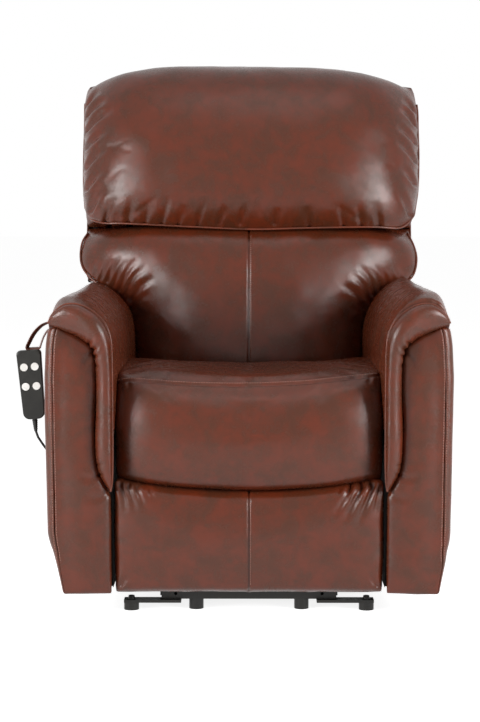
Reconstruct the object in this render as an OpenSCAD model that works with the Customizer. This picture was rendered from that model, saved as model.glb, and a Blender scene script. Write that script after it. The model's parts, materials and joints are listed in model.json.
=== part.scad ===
// Lift recliner chair, built as its separate pieces. Millimetres, +X to the sitter's left,
// +Y to the back, +Z up, origin on the floor below the middle of the chair's outline.

/* [Seat] */
// Width of the seat between the arms
seat_w = 543; // [480:1:680]
// Height of the top of the seat
seat_h = 500; // [470:1:540]
// Thickness of the seat cushion
seat_t = 140; // [110:1:160]
// How low the rolled front of the seat cushion hangs
seat_roll_z = 252; // [245:1:280]
// Height of the floor gap under the chair's body
body_z = 56; // [50:1:70]

/* [Arms] */
// Width of one arm
arm_w = 138; // [125:1:170]
// Height of the arms
arm_h = 655; // [600:1:700]
// Length of the arms from front to back
arm_l = 760; // [740:1:900]
// How far the outside of an arm leans in at its foot
arm_taper = 30; // [0:1:45]
// Thickness of the padded panels on the arms
panel_t = 20; // [12:1:24]
// Thickness of the plywood in the arms
ply_t = 18; // [12:1:22]
// Room inside the side pockets
pocket_gap = 13; // [12:1:20]

/* [Back] */
// Length of the back above its hinge
back_l = 790; // [700:1:880]
// Width of the head pillow
head_w = 786; // [700:1:800]
// Lean of the upright back
back_lean = 12; // [8:1:16]
// Thickness of the lumbar cushion
lumbar_t = 178; // [150:1:190]
// Thickness of the head pillow
head_t = 213; // [160:1:225]

/* [Lift base] */
// Width of the steel base
base_w = 362; // [320:1:400]
// Height of the steel base rails
rail_h = 40; // [36:1:44]
// Wall of the steel tube
wall = 2.5; // [2:0.5:3]
// Distance between the two holes in the front rail
hole_gap = 303; // [240:1:310]
// Diameter of the two holes in the front rail
hole_d = 7; // [6:0.5:9]
// Height of the feet under the rails
foot_h = 22; // [20:1:30]
// Thickness of the lift links
link_t = 6; // [5:0.5:7]

/* [Footrest] */
// Height of the footrest panel
foot_panel_h = 214; // [190:1:214]
// Thickness of the footrest cushion
foot_pad_t = 45; // [30:1:50]
// Thickness of the footrest board
foot_board_t = 15; // [12:1:18]
// Thickness of the footrest links
arm_link_t = 5; // [4:0.5:5]

/* [Handset] */
// Length of the handset
hand_l = 145; // [120:1:160]
// Width of the handset
hand_w = 52; // [48:1:60]
// Thickness of the handset
hand_t = 25; // [22:1:30]
// Diameter of its buttons
button_d = 16; // [12:0.5:17]

/* [Hidden] */

steel = "#2b2b2d";
leather = "#74372a";
leather_dark = "#5c2c22";
wood = "#c9a878";
black = "#1b1b1c";
smooth = 48;   // sides of a round edge on a soft piece
fit = 0.1;     // clearance round a pin or a shaft
gap = 1.5;     // clearance between two moving plates

// The chair from front to back and from side to side
arm_in = seat_w / 2;
arm_out = arm_in + arm_w;
front_y = -460;
rear_y = front_y + arm_l;
hinge = [rear_y - 30, 350];
back_t = 22;         // from the hinge plane to either face of the back frame
outer_back_t = 18;
back_top_y = hinge[0] + (back_t + outer_back_t) * cos(back_lean) + back_l * sin(back_lean);
pocket_t = 4;        // thickness of the side pockets' leather
hand_gap = 17;       // from the arm's side to the handset
hand_lean = 4.6;
hand_reach = arm_out + hand_gap + hand_w / 2 * (1 + cos(hand_lean)) + hand_l / 2 * sin(hand_lean);
mid_x = (hand_reach - arm_out - pocket_gap - pocket_t) / 2;
mid_y = -(front_y + back_top_y) / 2;

// Lift base: pivots are [y, z]
base_side_x = base_w / 2 - 1;
rail_w = 30;
rail_top = foot_h + rail_h;
base_front_y = front_y + 90;
base_rear_y = rear_y + 50;
bracket_t = 5;
pin_r = 6;
eye_r = 15;
link_x = base_side_x + bracket_t + gap;
front_link_l = 210;
front_link_a = 12;
rear_link_l = 300;
coupler_l = 330;
front_base_pivot = [base_front_y + 70, rail_top + 16];
front_body_pivot = front_base_pivot + polar(front_link_l, front_link_a);
rear_body_pivot = front_body_pivot + [coupler_l, 0];
rear_base_pivot = rear_body_pivot - [rear_link_l, 0];
rear_slot = [13.6, 0.8];   // travel of the rear pin along and across its slot
tube_r = 11;

// Lift actuator
lift_x = -60;
lift_motor_pivot = [base_rear_y - 20, rail_top];
crank_l = 70;
crank_a = 65;        // the crank stands this far round from the lift links
crank_pivot = front_base_pivot + polar(crank_l, front_link_a + crank_a);
lift_rod_l = dist(lift_motor_pivot, crank_pivot);
lift_rod_a = heading(lift_motor_pivot, crank_pivot);
lift_eye_offset = [3.5, -4.3];
lift_eye_free = 5.7;
act_pin_r = 5;
act_eye_t = 16;
act_rod_r = 8;
act_tube_r = 17;

// Body rails
carcass_rail_x = link_x + link_t + gap;
carcass_rail_w = 25;
carcass_rail_h = 36;
carcass_rail_z = front_body_pivot[1] - carcass_rail_h / 2;
cross_d = 24;
front_cross_y = front_y + 92;
rear_cross_y = rear_y - 32;

// Mechanism plates and footrest links, outermost layer first
plate_t = 5;
plate_x = arm_in - plate_t - 4.5;
layer_a = plate_x - gap - arm_link_t;
layer_c = layer_a - gap - arm_link_t;
layer_d = layer_c - gap - arm_link_t;
layer_f = layer_d - gap - arm_link_t;
foot_eye_r = 9;
foot_pin_r = 4;
foot_root = [front_y + 260, body_z + 194];
link_a_l = 200;
link_a_rest = -103;
link_c_l = 284;
link_c_rest = 40.7;
link_b_l = 75;      // the short link and its distance up link a
link_b_up = 90;
link_d_tail = 30;
knee = foot_root + ahead(link_a_l, link_a_rest);
panel_pivot = knee + ahead(link_c_l, link_c_rest);
b_root = knee - ahead(link_b_up, link_a_rest);
b_tip = b_root + ahead(link_b_l, link_c_rest);
c_mid = knee + ahead(link_b_l, link_c_rest);
d_tip = c_mid + ahead(link_d_tail, link_a_rest);
panel_low_pivot = panel_pivot + ahead(link_d_tail, link_a_rest);
foot_board_y = front_y + 60;
foot_front_y = foot_board_y - foot_pad_t;
foot_z = body_z - 4;
foot_w = seat_w - 13;

// Seat
seat_frame_z = seat_h - seat_t - 25;
seat_frame_h = 25;
roll_sag = 22;       // the middle of the seat roll's lower edge hangs this much lower
roll_d = 115;        // depth of the roll at the front of the seat
seat_rear_y = hinge[0] - lumbar_t - 18;
frame_bar = 25;

// Back actuator
back_act_x = 70;
back_act_root = [front_cross_y + 58, carcass_rail_z + 46];
back_crank_l = 100;
back_crank_a = -40;
back_crank = hinge + [-sin(back_crank_a), -cos(back_crank_a)] * back_crank_l;
back_rod_l = dist(back_act_root, back_crank);
back_rod_a = heading(back_act_root, back_crank);
back_eye_offset = [1.5, -2.7];
back_eye_free = 3.6;

// Back, in its own frame: y and z from the hinge, before it leans
wing_z = 305;        // below this the back passes between the arms
lumbar_top = 430;
post_w = 30;
back_low_x = arm_in - 12;
back_wide_x = head_w / 2 - 5.5;

// Arms: the boards stand inside the leather, and the outside curves in at its foot
board_x = arm_in + 4;
side_in = arm_out - panel_t;
taper_z = body_z + 70;
arm_front_y = front_y + 14;
arm_board_y = arm_front_y + panel_t;
board_top = arm_h - 80;
dome_in = arm_h - 95;    // where the rounded top of an arm starts, inside and outside
dome_out = arm_h - 68;
front_drop = 15;         // the front end of an arm is this much lower than its pad

// Side pockets
pocket_y = [front_y + 160, front_y + 550];
pocket_z = [taper_z + 2, taper_z + 164];

// Handset
hand_pos = [-(arm_out + hand_gap + hand_w / 2), front_y + 150, 462];
hand_round = 6;
button_z = [37.5, -3];
button_x = 11.2;
button_gap = 0.4;
button_proud = 2;

// The cable, from the strain relief into the left side pocket, and its coil there
cable_d = 5;
relief_l = 26;
cable_route = [[-444.5, -310, 363.8], [-443, -308, 345], [-436, -296, 325], [-427, -276, 311],
    [-419, -254, 302], [-416, -236, 288], [-416, -225, 268], [-416, -222, 244],
    [-416, -222, 216], [-416, -222, 184]];
coil_centre = [-416, -186.5, 170.3];
coil_r = [24, 38];
coil_t = 10;

function polar(l, a) = l * [cos(a), sin(a)];
function ahead(l, a) = l * [-cos(a), sin(a)];
function dist(p, q) = norm(q - p);
function heading(p, q) = atan2(q[1] - p[1], q[0] - p[0]);
function arc(c, r, a0, a1, n = 6) =
    [for (i = [0 : n]) c + polar(r, a0 + (a1 - a0) * i / n)];

module placed() translate([mid_x, mid_y, 0]) children();
module on_side(s) if (s > 0) children(); else mirror([1, 0, 0]) children();

// A shape drawn in [y, z], as thick as t along X from x
module plate(x, t) translate([x, 0, 0]) rotate([90, 0, 90]) linear_extrude(t) children();
// A shape drawn in [x, z], as deep as t along Y from y
module slab(y, t) translate([0, y + t, 0]) rotate([90, 0, 0]) linear_extrude(t) children();
// A round bar along X
module bar_x(p, r, x, l) translate([x, p[0], p[1]]) rotate([0, 90, 0]) cylinder(l, r, r, $fn = smooth);
module disc(p, r) translate(p) circle(r, $fn = smooth);
// A flat bar with round ends from p to q
module strip(p, q, r) translate(p) rotate(heading(p, q)) {
    disc([0, 0], r);
    disc([dist(p, q), 0], r);
    translate([0, -r]) square([dist(p, q), 2 * r]);
}
module rounded(w, h, r) {
    translate([r, 0]) square([w - 2 * r, h]);
    translate([0, r]) square([w, h - 2 * r]);
    for (x = [r, w - r], z = [r, h - r]) translate([x, z]) circle(r, $fn = smooth);
}
// A rectangular steel tube along Y or along X
module tube_y(x, y, z, w, l, h) translate([x, y, z]) difference() {
    cube([w, l, h]);
    translate([wall, -1, wall]) cube([w - 2 * wall, l + 2, h - 2 * wall]);
}
module tube_x(x, y, z, l, d, h) translate([x, y, z]) difference() {
    cube([l, d, h]);
    translate([-1, wall, wall]) cube([l + 2, d - 2 * wall, h - 2 * wall]);
}

// ---- Lift base ----

module base_front_rail() placed() color(steel) difference() {
    tube_x(-base_w / 2, base_front_y, foot_h, base_w, rail_w, rail_h);
    for (s = [-1, 1]) translate([s * hole_gap / 2, base_front_y - 1, foot_h + 11])
        rotate([-90, 0, 0]) cylinder(rail_w + 2, hole_d / 2, hole_d / 2, $fn = smooth);
}

module base_rear_rail() placed() color(steel) {
    tube_x(-base_w / 2, base_rear_y, foot_h, base_w, rail_w, rail_h);
    for (s = [-1, 1]) plate(lift_x + s * (act_eye_t / 2 + gap + 2.5) - 2.5, 5) difference() {
        union() {
            disc(lift_motor_pivot, 12);
            translate([lift_motor_pivot[0] - 12, foot_h + 14])
                square([base_rear_y - lift_motor_pivot[0] + 12, rail_h - 14]);
        }
        disc(lift_motor_pivot, act_pin_r + fit);
    }
}

module base_side_rail(s) placed() color(steel) on_side(s) {
    tube_y(base_side_x - rail_w, base_front_y + rail_w, foot_h, rail_w,
        base_rear_y - base_front_y - rail_w, rail_h);
    plate(base_side_x, bracket_t) difference() {
        union() {
            strip(front_base_pivot, front_base_pivot + [0, -30], eye_r);
            translate([front_base_pivot[0] - 35, foot_h]) square([70, rail_h]);
        }
        disc(front_base_pivot, pin_r + fit);
    }
    plate(base_side_x, bracket_t) {
        strip(rear_base_pivot, [rear_base_pivot[0], foot_h + 20], eye_r);
        translate([rear_base_pivot[0] - 35, foot_h]) square([70, rail_h]);
    }
    bar_x(rear_base_pivot, pin_r, base_side_x + bracket_t, gap + link_t + gap - fit);
}
module base_side_rail_left() base_side_rail(-1);
module base_side_rail_right() base_side_rail(1);

module stabiliser(s) placed() color(steel) on_side(s) {
    translate([base_w / 2 - 41, base_front_y - 12, foot_h - 6]) cube([118, rail_w, 6]);
    translate([base_w / 2 + 62, base_front_y + 3, 0]) cylinder(foot_h - 6, 15.5, 15.5, $fn = smooth);
    translate([base_w / 2 + 62, base_front_y + 3, foot_h]) cylinder(7, 8, 6, $fn = smooth);
}
module stabiliser_left() stabiliser(-1);
module stabiliser_right() stabiliser(1);

module base_feet() placed() color(black) for (s = [-1, 1]) {
    translate([s * 109, base_front_y + rail_w / 2, 0]) cylinder(foot_h, 15, 15, $fn = smooth);
    translate([s * (base_w / 2 - 31), base_rear_y + rail_w / 2, 0]) cylinder(foot_h, 15, 15, $fn = smooth);
}

module lift_torque_tube() placed() color(steel) {
    bar_x(front_base_pivot, tube_r, gap - base_side_x, 2 * (base_side_x - gap));
    bar_x(front_base_pivot, pin_r, -link_x - link_t, 2 * (link_x + link_t));
    for (s = [-1, 1]) plate(lift_x + s * (act_eye_t / 2 + gap + 2.5) - 2.5, 5)
        strip(front_base_pivot, crank_pivot, 11);
    bar_x(crank_pivot, act_pin_r, lift_x - act_eye_t / 2 - gap, act_eye_t + 2 * gap);
}

module front_lift_link(s) placed() color(steel) on_side(s) plate(link_x, link_t) difference() {
    strip(front_base_pivot, front_body_pivot, eye_r - 1);
    disc(front_base_pivot, pin_r);
    disc(front_body_pivot, pin_r + fit);
}
module front_lift_link_left() front_lift_link(-1);
module front_lift_link_right() front_lift_link(1);

module rear_lift_link(s) placed() color(steel) on_side(s) {
    plate(link_x, link_t) difference() {
        strip(rear_base_pivot, rear_body_pivot, eye_r - 1);
        disc(rear_base_pivot, pin_r + fit);
    }
    bar_x(rear_body_pivot, pin_r, link_x + link_t, gap + wall + 2);
}
module rear_lift_link_left() rear_lift_link(-1);
module rear_lift_link_right() rear_lift_link(1);

// ---- Actuators, along +X from their rear eye at the origin ----

module along(x, pivot, a)
    translate([x, pivot[0], pivot[1]]) rotate([a, 0, 0]) rotate([0, 0, 90]) children();
module actuator_body(tube_l, motor_side) {
    rotate([90, 0, 0]) {
        translate([0, 0, -act_eye_t / 2]) cylinder(act_eye_t, 13, 13, $fn = smooth);
        translate([0, -12, -act_eye_t / 2]) cube([30, 24, act_eye_t]);
        translate([0, 0, -act_eye_t / 2 - gap - 5])
            cylinder(act_eye_t + 2 * gap + 10, act_pin_r, act_pin_r, $fn = smooth);
    }
    difference() {
        union() {
            translate([22, -28, -26]) cube([78, 56, 52]);
            rotate([0, 90, 0]) translate([0, 0, 99])
                cylinder(tube_l - 99, act_tube_r, act_tube_r, $fn = smooth);
            translate([30, motor_side * 48, -2]) rotate([0, 90, 0]) cylinder(118, 25, 25, $fn = smooth);
        }
        rotate([0, 90, 0]) translate([0, 0, 110])
            cylinder(tube_l, act_rod_r + fit, act_rod_r + fit, $fn = smooth);
    }
}
module actuator_rod(rod_start, rod_l, offset, free) {
    hole_r = act_pin_r + free;
    difference() {
        union() {
            rotate([0, 90, 0]) translate([0, 0, rod_start])
                cylinder(rod_l - rod_start, act_rod_r, act_rod_r, $fn = smooth);
            rotate([90, 0, 0]) translate([rod_l + offset[0], offset[1], -act_eye_t / 2])
                cylinder(act_eye_t, hole_r + 6, hole_r + 6, $fn = smooth);
        }
        rotate([90, 0, 0]) translate([rod_l + offset[0], offset[1], -act_eye_t])
            cylinder(2 * act_eye_t, hole_r, hole_r, $fn = smooth);
    }
}

module lift_actuator() placed() color(black)
    along(lift_x, lift_motor_pivot, lift_rod_a) actuator_body(lift_rod_l - 130, -1);
module lift_actuator_rod() placed() color("silver") along(lift_x, lift_motor_pivot, lift_rod_a)
    actuator_rod(300, lift_rod_l, lift_eye_offset, lift_eye_free);

module back_actuator() placed() color(black)
    along(back_act_x, back_act_root, back_rod_a) actuator_body(back_rod_l - 130, 1);
module back_actuator_rod() placed() color("silver") along(back_act_x, back_act_root, back_rod_a)
    actuator_rod(300, back_rod_l, back_eye_offset, back_eye_free);

// ---- Body: rails, mechanism plates and seat ----

module carcass_rail(s) placed() color(steel) on_side(s) {
    rail_l = rear_cross_y - front_cross_y - cross_d;
    slot = rear_body_pivot + [rear_slot[0] / 2, -rear_slot[1] / 2];
    half = rear_slot[0] / 2;
    slot_r = pin_r + fit + rear_slot[1] / 2;
    difference() {
        tube_y(carcass_rail_x, front_cross_y + cross_d, carcass_rail_z, carcass_rail_w, rail_l,
            carcass_rail_h);
        plate(carcass_rail_x - 1, wall + 2) strip(slot - [half, 0], slot + [half, 0], slot_r);
    }
    bar_x(front_body_pivot, pin_r, link_x - gap / 2, link_t + 1.5 * gap + wall);
    tube_x(carcass_rail_x + carcass_rail_w, rear_cross_y - 322, carcass_rail_z,
        board_x - carcass_rail_x - carcass_rail_w, cross_d, carcass_rail_h);
}
module carcass_rail_left() carcass_rail(-1);
module carcass_rail_right() carcass_rail(1);

module cross_members() placed() color(steel) {
    front_x = carcass_rail_x + carcass_rail_w;
    tube_x(-front_x, front_cross_y, carcass_rail_z, 2 * front_x, cross_d, carcass_rail_h);
    tube_x(-board_x, rear_cross_y, carcass_rail_z, 2 * board_x, cross_d, carcass_rail_h);
    for (s = [-1, 1]) plate(back_act_x + s * (act_eye_t / 2 + gap + 2.5) - 2.5, 5) difference() {
        strip([front_cross_y + cross_d + 4, carcass_rail_z + carcass_rail_h / 2], back_act_root, 12);
        disc(back_act_root, act_pin_r + fit);
    }
}

module mechanism_plate(s) placed() color(steel) on_side(s) {
    bar_z = seat_frame_z - 35;
    plate(plate_x, plate_t) {
        translate([front_y + 130, bar_z]) square([hinge[0] - front_y - 130, 45]);
        strip(foot_root, [foot_root[0], bar_z + 20], 16);
        strip(hinge, [hinge[0], bar_z + 20], 17);
    }
    for (y = [front_y + 170, front_y + 420, hinge[0] - 30])
        bar_x([y, bar_z + 20], 9, plate_x + plate_t, board_x - plate_x - plate_t);
    bar_x(foot_root, foot_pin_r, layer_a - 12, plate_x - layer_a + 12);
    bar_x(hinge, pin_r, arm_in - 32, plate_x - arm_in + 32);
}
module mechanism_plate_left() mechanism_plate(-1);
module mechanism_plate_right() mechanism_plate(1);

module seat_frame() placed() color(wood) {
    start = front_y + roll_d + 10;
    end = seat_rear_y + 116;
    for (s = [-1, 1]) on_side(s) translate([plate_x - frame_bar, start, seat_frame_z])
        cube([frame_bar, end - start, seat_frame_h]);
    translate([frame_bar - plate_x, start, seat_frame_z - 35])
        cube([2 * (plate_x - frame_bar), frame_bar, seat_frame_h + 35]);
    translate([frame_bar - plate_x, end - frame_bar, seat_frame_z])
        cube([2 * (plate_x - frame_bar), frame_bar, seat_frame_h]);
}

module seat_webbing() placed() color(black)
    for (i = [0 : 5]) translate([frame_bar - plate_x, front_y + 165 + i * 80, seat_frame_z + 20])
        cube([2 * (plate_x - frame_bar), 55, 4]);

module seat_cushion() placed() color(leather) intersection() {
    under = seat_h - seat_t;
    face = front_y + 5;
    back = face + roll_d;
    plate(-seat_w / 2 + 3.5, seat_w - 7) polygon(concat(
        [[seat_rear_y, under]], arc([seat_rear_y - 25, seat_h - 45], 25, 0, 90),
        arc([face + 75, seat_h - 75], 75, 90, 180), arc([face + 50, seat_roll_z + 50], 50, 180, 270),
        [[back - 15, seat_roll_z], [back, seat_roll_z + 15], [back, under]]));
    slab(face - 1, seat_rear_y - face + 2) polygon(concat(
        [[seat_w / 2, seat_h + 1], [-seat_w / 2, seat_h + 1]],
        [for (i = [-6 : 6]) [i / 6 * seat_w / 2, seat_roll_z + roll_sag * pow(i / 6, 2)]]));
}

// ---- Arms ----

// The rounded top of an arm, from its inside to its outside, this much below the pad's top
function dome(drop) = [for (i = [0 : 12])
    let (t = 180 - i * 15, mid = (arm_in + arm_out) / 2, lean = i / 12,
        spring = dome_in * (1 - lean) + dome_out * lean - drop)
    [mid + arm_w / 2 * cos(t), spring + (arm_h - drop - spring) * sin(t)]];
// The outside of an arm where it curves in to its foot, set in by d
function outside(d) = [for (i = [0 : 5])
    [arm_out - d - arm_taper * pow(i / 5, 2), taper_z - (taper_z - body_z) * i / 5]];

module arm_frame(s) placed() color(wood) on_side(s) {
    board_l = rear_y - arm_board_y;
    edge = concat([[side_in, board_top]], outside(panel_t));
    translate([board_x, arm_board_y, body_z + 4]) cube([ply_t, board_l, board_top - body_z - 4]);
    translate([board_x + ply_t, arm_board_y, board_top - ply_t])
        cube([side_in - board_x - ply_t, board_l, ply_t]);
    for (y = [arm_board_y, rear_y - ply_t]) slab(y, ply_t)
        polygon(concat(edge, [[board_x + ply_t, body_z], [board_x + ply_t, board_top]]));
}
module arm_frame_left() arm_frame(-1);
module arm_frame_right() arm_frame(1);

module arm_pad(s) placed() color(leather) on_side(s) slab(arm_board_y, rear_y - arm_board_y)
    polygon(concat(dome(0), [[arm_out, board_top], [board_x, board_top],
        [board_x, seat_h - seat_t + 5], [arm_in, seat_h - seat_t + 5]]));
module arm_pad_left() arm_pad(-1);
module arm_pad_right() arm_pad(1);

module arm_side_panel(s) placed() color(leather_dark) on_side(s)
    slab(arm_board_y, rear_y - arm_board_y) difference() {
        polygon(concat([[arm_out, board_top]], outside(0), [[side_in - 60, body_z],
            [side_in - 60, board_top]]));
        polygon(concat([[side_in, board_top + 1]], outside(panel_t), [[side_in - 61, body_z - 1],
            [side_in - 61, board_top + 1]]));
    }
module arm_side_panel_left() arm_side_panel(-1);
module arm_side_panel_right() arm_side_panel(1);

module arm_front_panel(s) placed() color(leather) on_side(s) slab(arm_front_y, panel_t)
    polygon(concat(dome(front_drop), outside(0), [[arm_in, body_z]]));
module arm_front_panel_left() arm_front_panel(-1);
module arm_front_panel_right() arm_front_panel(1);

// The welted roll runs over the top of the front panel and down its inner edge to a point
module arm_roll(s) placed() color(leather) on_side(s) slab(front_y, arm_front_y - front_y)
    polygon(concat(dome(front_drop),
        [[arm_out, dome_out - front_drop - 20]],
        [for (i = [0 : 5]) [arm_out - 16 - 14 * i, dome_out - front_drop - 22 - 18 * pow(i / 5, 2)]],
        arc([arm_in + 70, dome_in - 70], 36, 100, 180, 4),
        [[arm_in + 32, dome_in - 230], [arm_in + 24, dome_in - 275], [arm_in + 2, dome_in - 300],
        [arm_in, dome_in - 290]]));
module arm_roll_left() arm_roll(-1);
module arm_roll_right() arm_roll(1);

module side_pocket(s) placed() color(leather_dark) on_side(s) {
    l = pocket_y[1] - pocket_y[0];
    h = pocket_z[1] - pocket_z[0];
    translate([arm_out + pocket_gap, pocket_y[0], pocket_z[0]]) cube([pocket_t, l, h]);
    translate([arm_out, pocket_y[0], pocket_z[0]]) cube([pocket_gap, l, pocket_t]);
    for (y = [pocket_y[0], pocket_y[1] - pocket_t])
        translate([arm_out, y, pocket_z[0]]) cube([pocket_gap, pocket_t, h]);
}
module side_pocket_left() side_pocket(-1);
module side_pocket_right() side_pocket(1);

module power_supply() placed() color(black) difference() {
    translate([-190, rear_cross_y - 18, carcass_rail_z + carcass_rail_h]) cube([150, 56, 44]);
    slab(rear_cross_y + 26, 13) translate([-123, carcass_rail_z + carcass_rail_h + 18])
        rounded(16, 8.4, 4);
}

// ---- Back, built upright from its hinge and then leaned ----

module in_back() placed() translate([0, hinge[0], hinge[1]]) rotate([-back_lean, 0, 0]) children();

module back_frame() in_back() color(wood) {
    for (s = [-1, 1]) on_side(s) {
        difference() {
            translate([arm_in - 16 - post_w, -back_t, -62]) cube([post_w, 2 * back_t, back_l + 32]);
            bar_x([0, 0], pin_r + fit, arm_in - 50, 60);
        }
        translate([back_wide_x - 24, -12, wing_z]) cube([24, 24, back_l - 60 - wing_z]);
    }
    for (z = [wing_z, back_l - 100]) translate([-back_wide_x, -12, z]) cube([2 * back_wide_x, 24, 40]);
    translate([16 + post_w - arm_in, -back_t, -62]) cube([2 * (arm_in - 16 - post_w), 2 * back_t, 40]);
    crank = [back_crank_l * cos(back_crank_a - 90 - back_lean) * -1,
        back_crank_l * sin(back_crank_a - 90 - back_lean)];
    for (s = [-1, 1]) plate(back_act_x + s * (act_eye_t / 2 + gap + 2.5) - 2.5, 5)
        strip([8, -50], crank, 10);
    bar_x(crank, act_pin_r, back_act_x - act_eye_t / 2 - gap, act_eye_t + 2 * gap);
}

module back_webbing() in_back() color(black)
    for (i = [0 : 7]) translate([16 + post_w - arm_in, -17, i * (back_l - 86) / 8 + 6])
        cube([2 * (arm_in - 16 - post_w), 4, 60]);

// The upholstered shell over the back frame: a rear panel with walls round its wide part
module back_outline(d) polygon(concat([[back_low_x, wing_z - 5 + d], [head_w / 2 - d, wing_z - 5 + d]],
    arc([head_w / 2 - 60, back_l - 60], 60 - d, 0, 90),
    arc([60 - head_w / 2, back_l - 60], 60 - d, 90, 180),
    [[d - head_w / 2, wing_z - 5 + d], [-back_low_x, wing_z - 5 + d]]));
module outer_back() in_back() color(leather_dark) {
    slab(back_t, outer_back_t) {
        back_outline(0);
        translate([-back_low_x, -30]) square([2 * back_low_x, wing_z + 30]);
    }
    slab(-back_t + 1, 2 * back_t - 1) difference() {
        back_outline(0);
        back_outline(5);
        translate([-back_low_x, 0]) square([2 * back_low_x, wing_z + 60]);
    }
}

module lumbar_cushion() in_back() color(leather) intersection() {
    plate(-head_w / 2, head_w) polygon(concat([[-back_t, 20]],
        arc([-back_t - lumbar_t + 45, 65], 45, 270, 180),
        arc([-back_t - lumbar_t + 45, lumbar_top - 48], 45, 180, 90),
        [[-back_t, lumbar_top - 3]]));
    slab(-back_t - lumbar_t - 1, lumbar_t + 2) polygon(concat(
        [[-back_low_x, 0], [back_low_x, 0], [back_low_x, wing_z + 6]],
        arc([head_w / 2 - 40, wing_z + 46], 40, 270, 360),
        [[head_w / 2, lumbar_top], [-head_w / 2, lumbar_top]],
        arc([40 - head_w / 2, wing_z + 46], 40, 180, 270), [[-back_low_x, wing_z + 6]]));
}

module head_pillow() in_back() color(leather) intersection() {
    front = -back_t - head_t;
    plate(-head_w / 2, head_w) polygon(concat([[-back_t, lumbar_top]],
        arc([front + 60, lumbar_top + 60], 60, 270, 180), arc([front + 95, back_l - 85], 95, 180, 90),
        [[-back_t - 30, back_l + 10], [-back_t, back_l - 8]]));
    slab(front - 1, head_t + 2) polygon(concat(
        [[-head_w / 2, lumbar_top - 1], [head_w / 2, lumbar_top - 1]],
        [[head_w / 2, back_l - 75]], arc([head_w / 2 - 45, back_l - 75], 45, 0, 70, 5),
        [[0, back_l + 10]], arc([45 - head_w / 2, back_l - 75], 45, 110, 180, 5)));
}

// ---- Footrest ----

module foot_links(layer) placed() color(steel)
    for (s = [-1, 1]) on_side(s) plate(layer, arm_link_t) children();
// Pins that reach from a layer of links into the next one inwards
module foot_pins(points, layer) placed() color(steel)
    for (s = [-1, 1], p = points) on_side(s)
        bar_x(p, foot_pin_r, layer - gap - arm_link_t, gap + arm_link_t);
module foot_bores(points) for (p = points) disc(p, foot_pin_r + fit);

module footrest_link_a() {
    foot_links(layer_a) difference() {
        strip(foot_root, knee, foot_eye_r);
        foot_bores([foot_root]);
    }
    placed() color(steel) difference() {
        bar_x(foot_root, foot_eye_r - 1, -layer_a, 2 * layer_a);
        bar_x(foot_root, foot_pin_r + fit, -layer_a - 1, 2 * layer_a + 2);
    }
    foot_pins([knee, b_root], layer_a);
}
module footrest_link_b() {
    foot_links(layer_c) difference() {
        strip(b_root, b_tip, foot_eye_r);
        foot_bores([b_root]);
    }
    foot_pins([b_tip], layer_c);
}
module footrest_link_c() {
    foot_links(layer_c) difference() {
        strip(knee, panel_pivot, foot_eye_r);
        foot_bores([knee]);
    }
    foot_pins([c_mid, panel_pivot], layer_c);
}
module footrest_link_d() {
    foot_links(layer_d) difference() {
        strip(b_tip, d_tip, foot_eye_r);
        foot_bores([b_tip, c_mid]);
    }
    foot_pins([d_tip], layer_d);
}
module footrest_link_f() foot_links(layer_f) difference() {
    strip(d_tip, panel_low_pivot, foot_eye_r);
    foot_bores([d_tip, panel_low_pivot]);
}

module footrest_brackets() {
    board_back = foot_board_y + foot_board_t;
    foot_links(layer_d) difference() {
        union() {
            strip(panel_pivot, panel_low_pivot, foot_eye_r);
            translate([board_back, panel_low_pivot[1] - 25])
                square([panel_pivot[0] - board_back, panel_pivot[1] - panel_low_pivot[1] + 30]);
        }
        foot_bores([panel_pivot]);
    }
    foot_pins([panel_low_pivot], layer_d);
    placed() color(steel) for (s = [-1, 1]) on_side(s)
        translate([layer_d - 22, board_back, panel_low_pivot[1] - 60]) cube([22 + arm_link_t, 3, 80]);
}

// The footrest's outline, which follows the lower edge of the seat roll
module foot_outline(w) polygon(concat([[-w / 2, foot_z], [w / 2, foot_z]],
    [for (i = [6 : -1 : -6]) [i / 6 * w / 2, foot_z + foot_panel_h - roll_sag * (1 - pow(i / 6, 2))]]));
module footrest_board() placed() color(wood) slab(foot_board_y, foot_board_t) foot_outline(foot_w - 10);
module footrest_pad() placed() color(leather) slab(foot_front_y, foot_pad_t) foot_outline(foot_w);

// ---- Handset and its cable ----

module in_hand() placed() translate(hand_pos) rotate([0, -hand_lean, 0]) children();

module handset() in_hand() color(black) difference() {
    slab(-hand_t / 2, hand_t) translate([-hand_w / 2, -hand_l / 2]) rounded(hand_w, hand_l, hand_round);
    for (x = [-1, 1], z = button_z)
        slab(-hand_t / 2 - 1, 6) disc([x * button_x, z], button_d / 2 + button_gap);
}
module button(x, z) in_hand() color("white")
    slab(-hand_t / 2 - button_proud, button_proud + 2.9) disc([x * button_x, z], button_d / 2);
module button_1() button(-1, button_z[0]);
module button_2() button(1, button_z[0]);
module button_3() button(-1, button_z[1]);
module button_4() button(1, button_z[1]);

module handset_relief() in_hand() color(black) translate([0, 0, -hand_l / 2 - relief_l])
    cylinder(relief_l, 3.3, 5.5, $fn = smooth);

// A leather loop that holds the handset's top against the arm
module handset_strap() placed() color(leather_dark) slab(hand_pos[1] - 6, 12) intersection() {
    top = hand_pos[2] + hand_l / 2 + 2.2;
    low_l = [hand_pos[0] - 12, top - 0.1];
    low_r = [hand_pos[0] + 12, top + 1.9];
    high = [6 - arm_out, top + 58];
    union() {
        strip(low_l, low_r, 1.5);
        strip(low_l, high, 1.5);
        strip(low_r, high - [0, 12], 1.5);
    }
    translate([-arm_out - 200, top - 100]) square([200, 300]);
}

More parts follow.
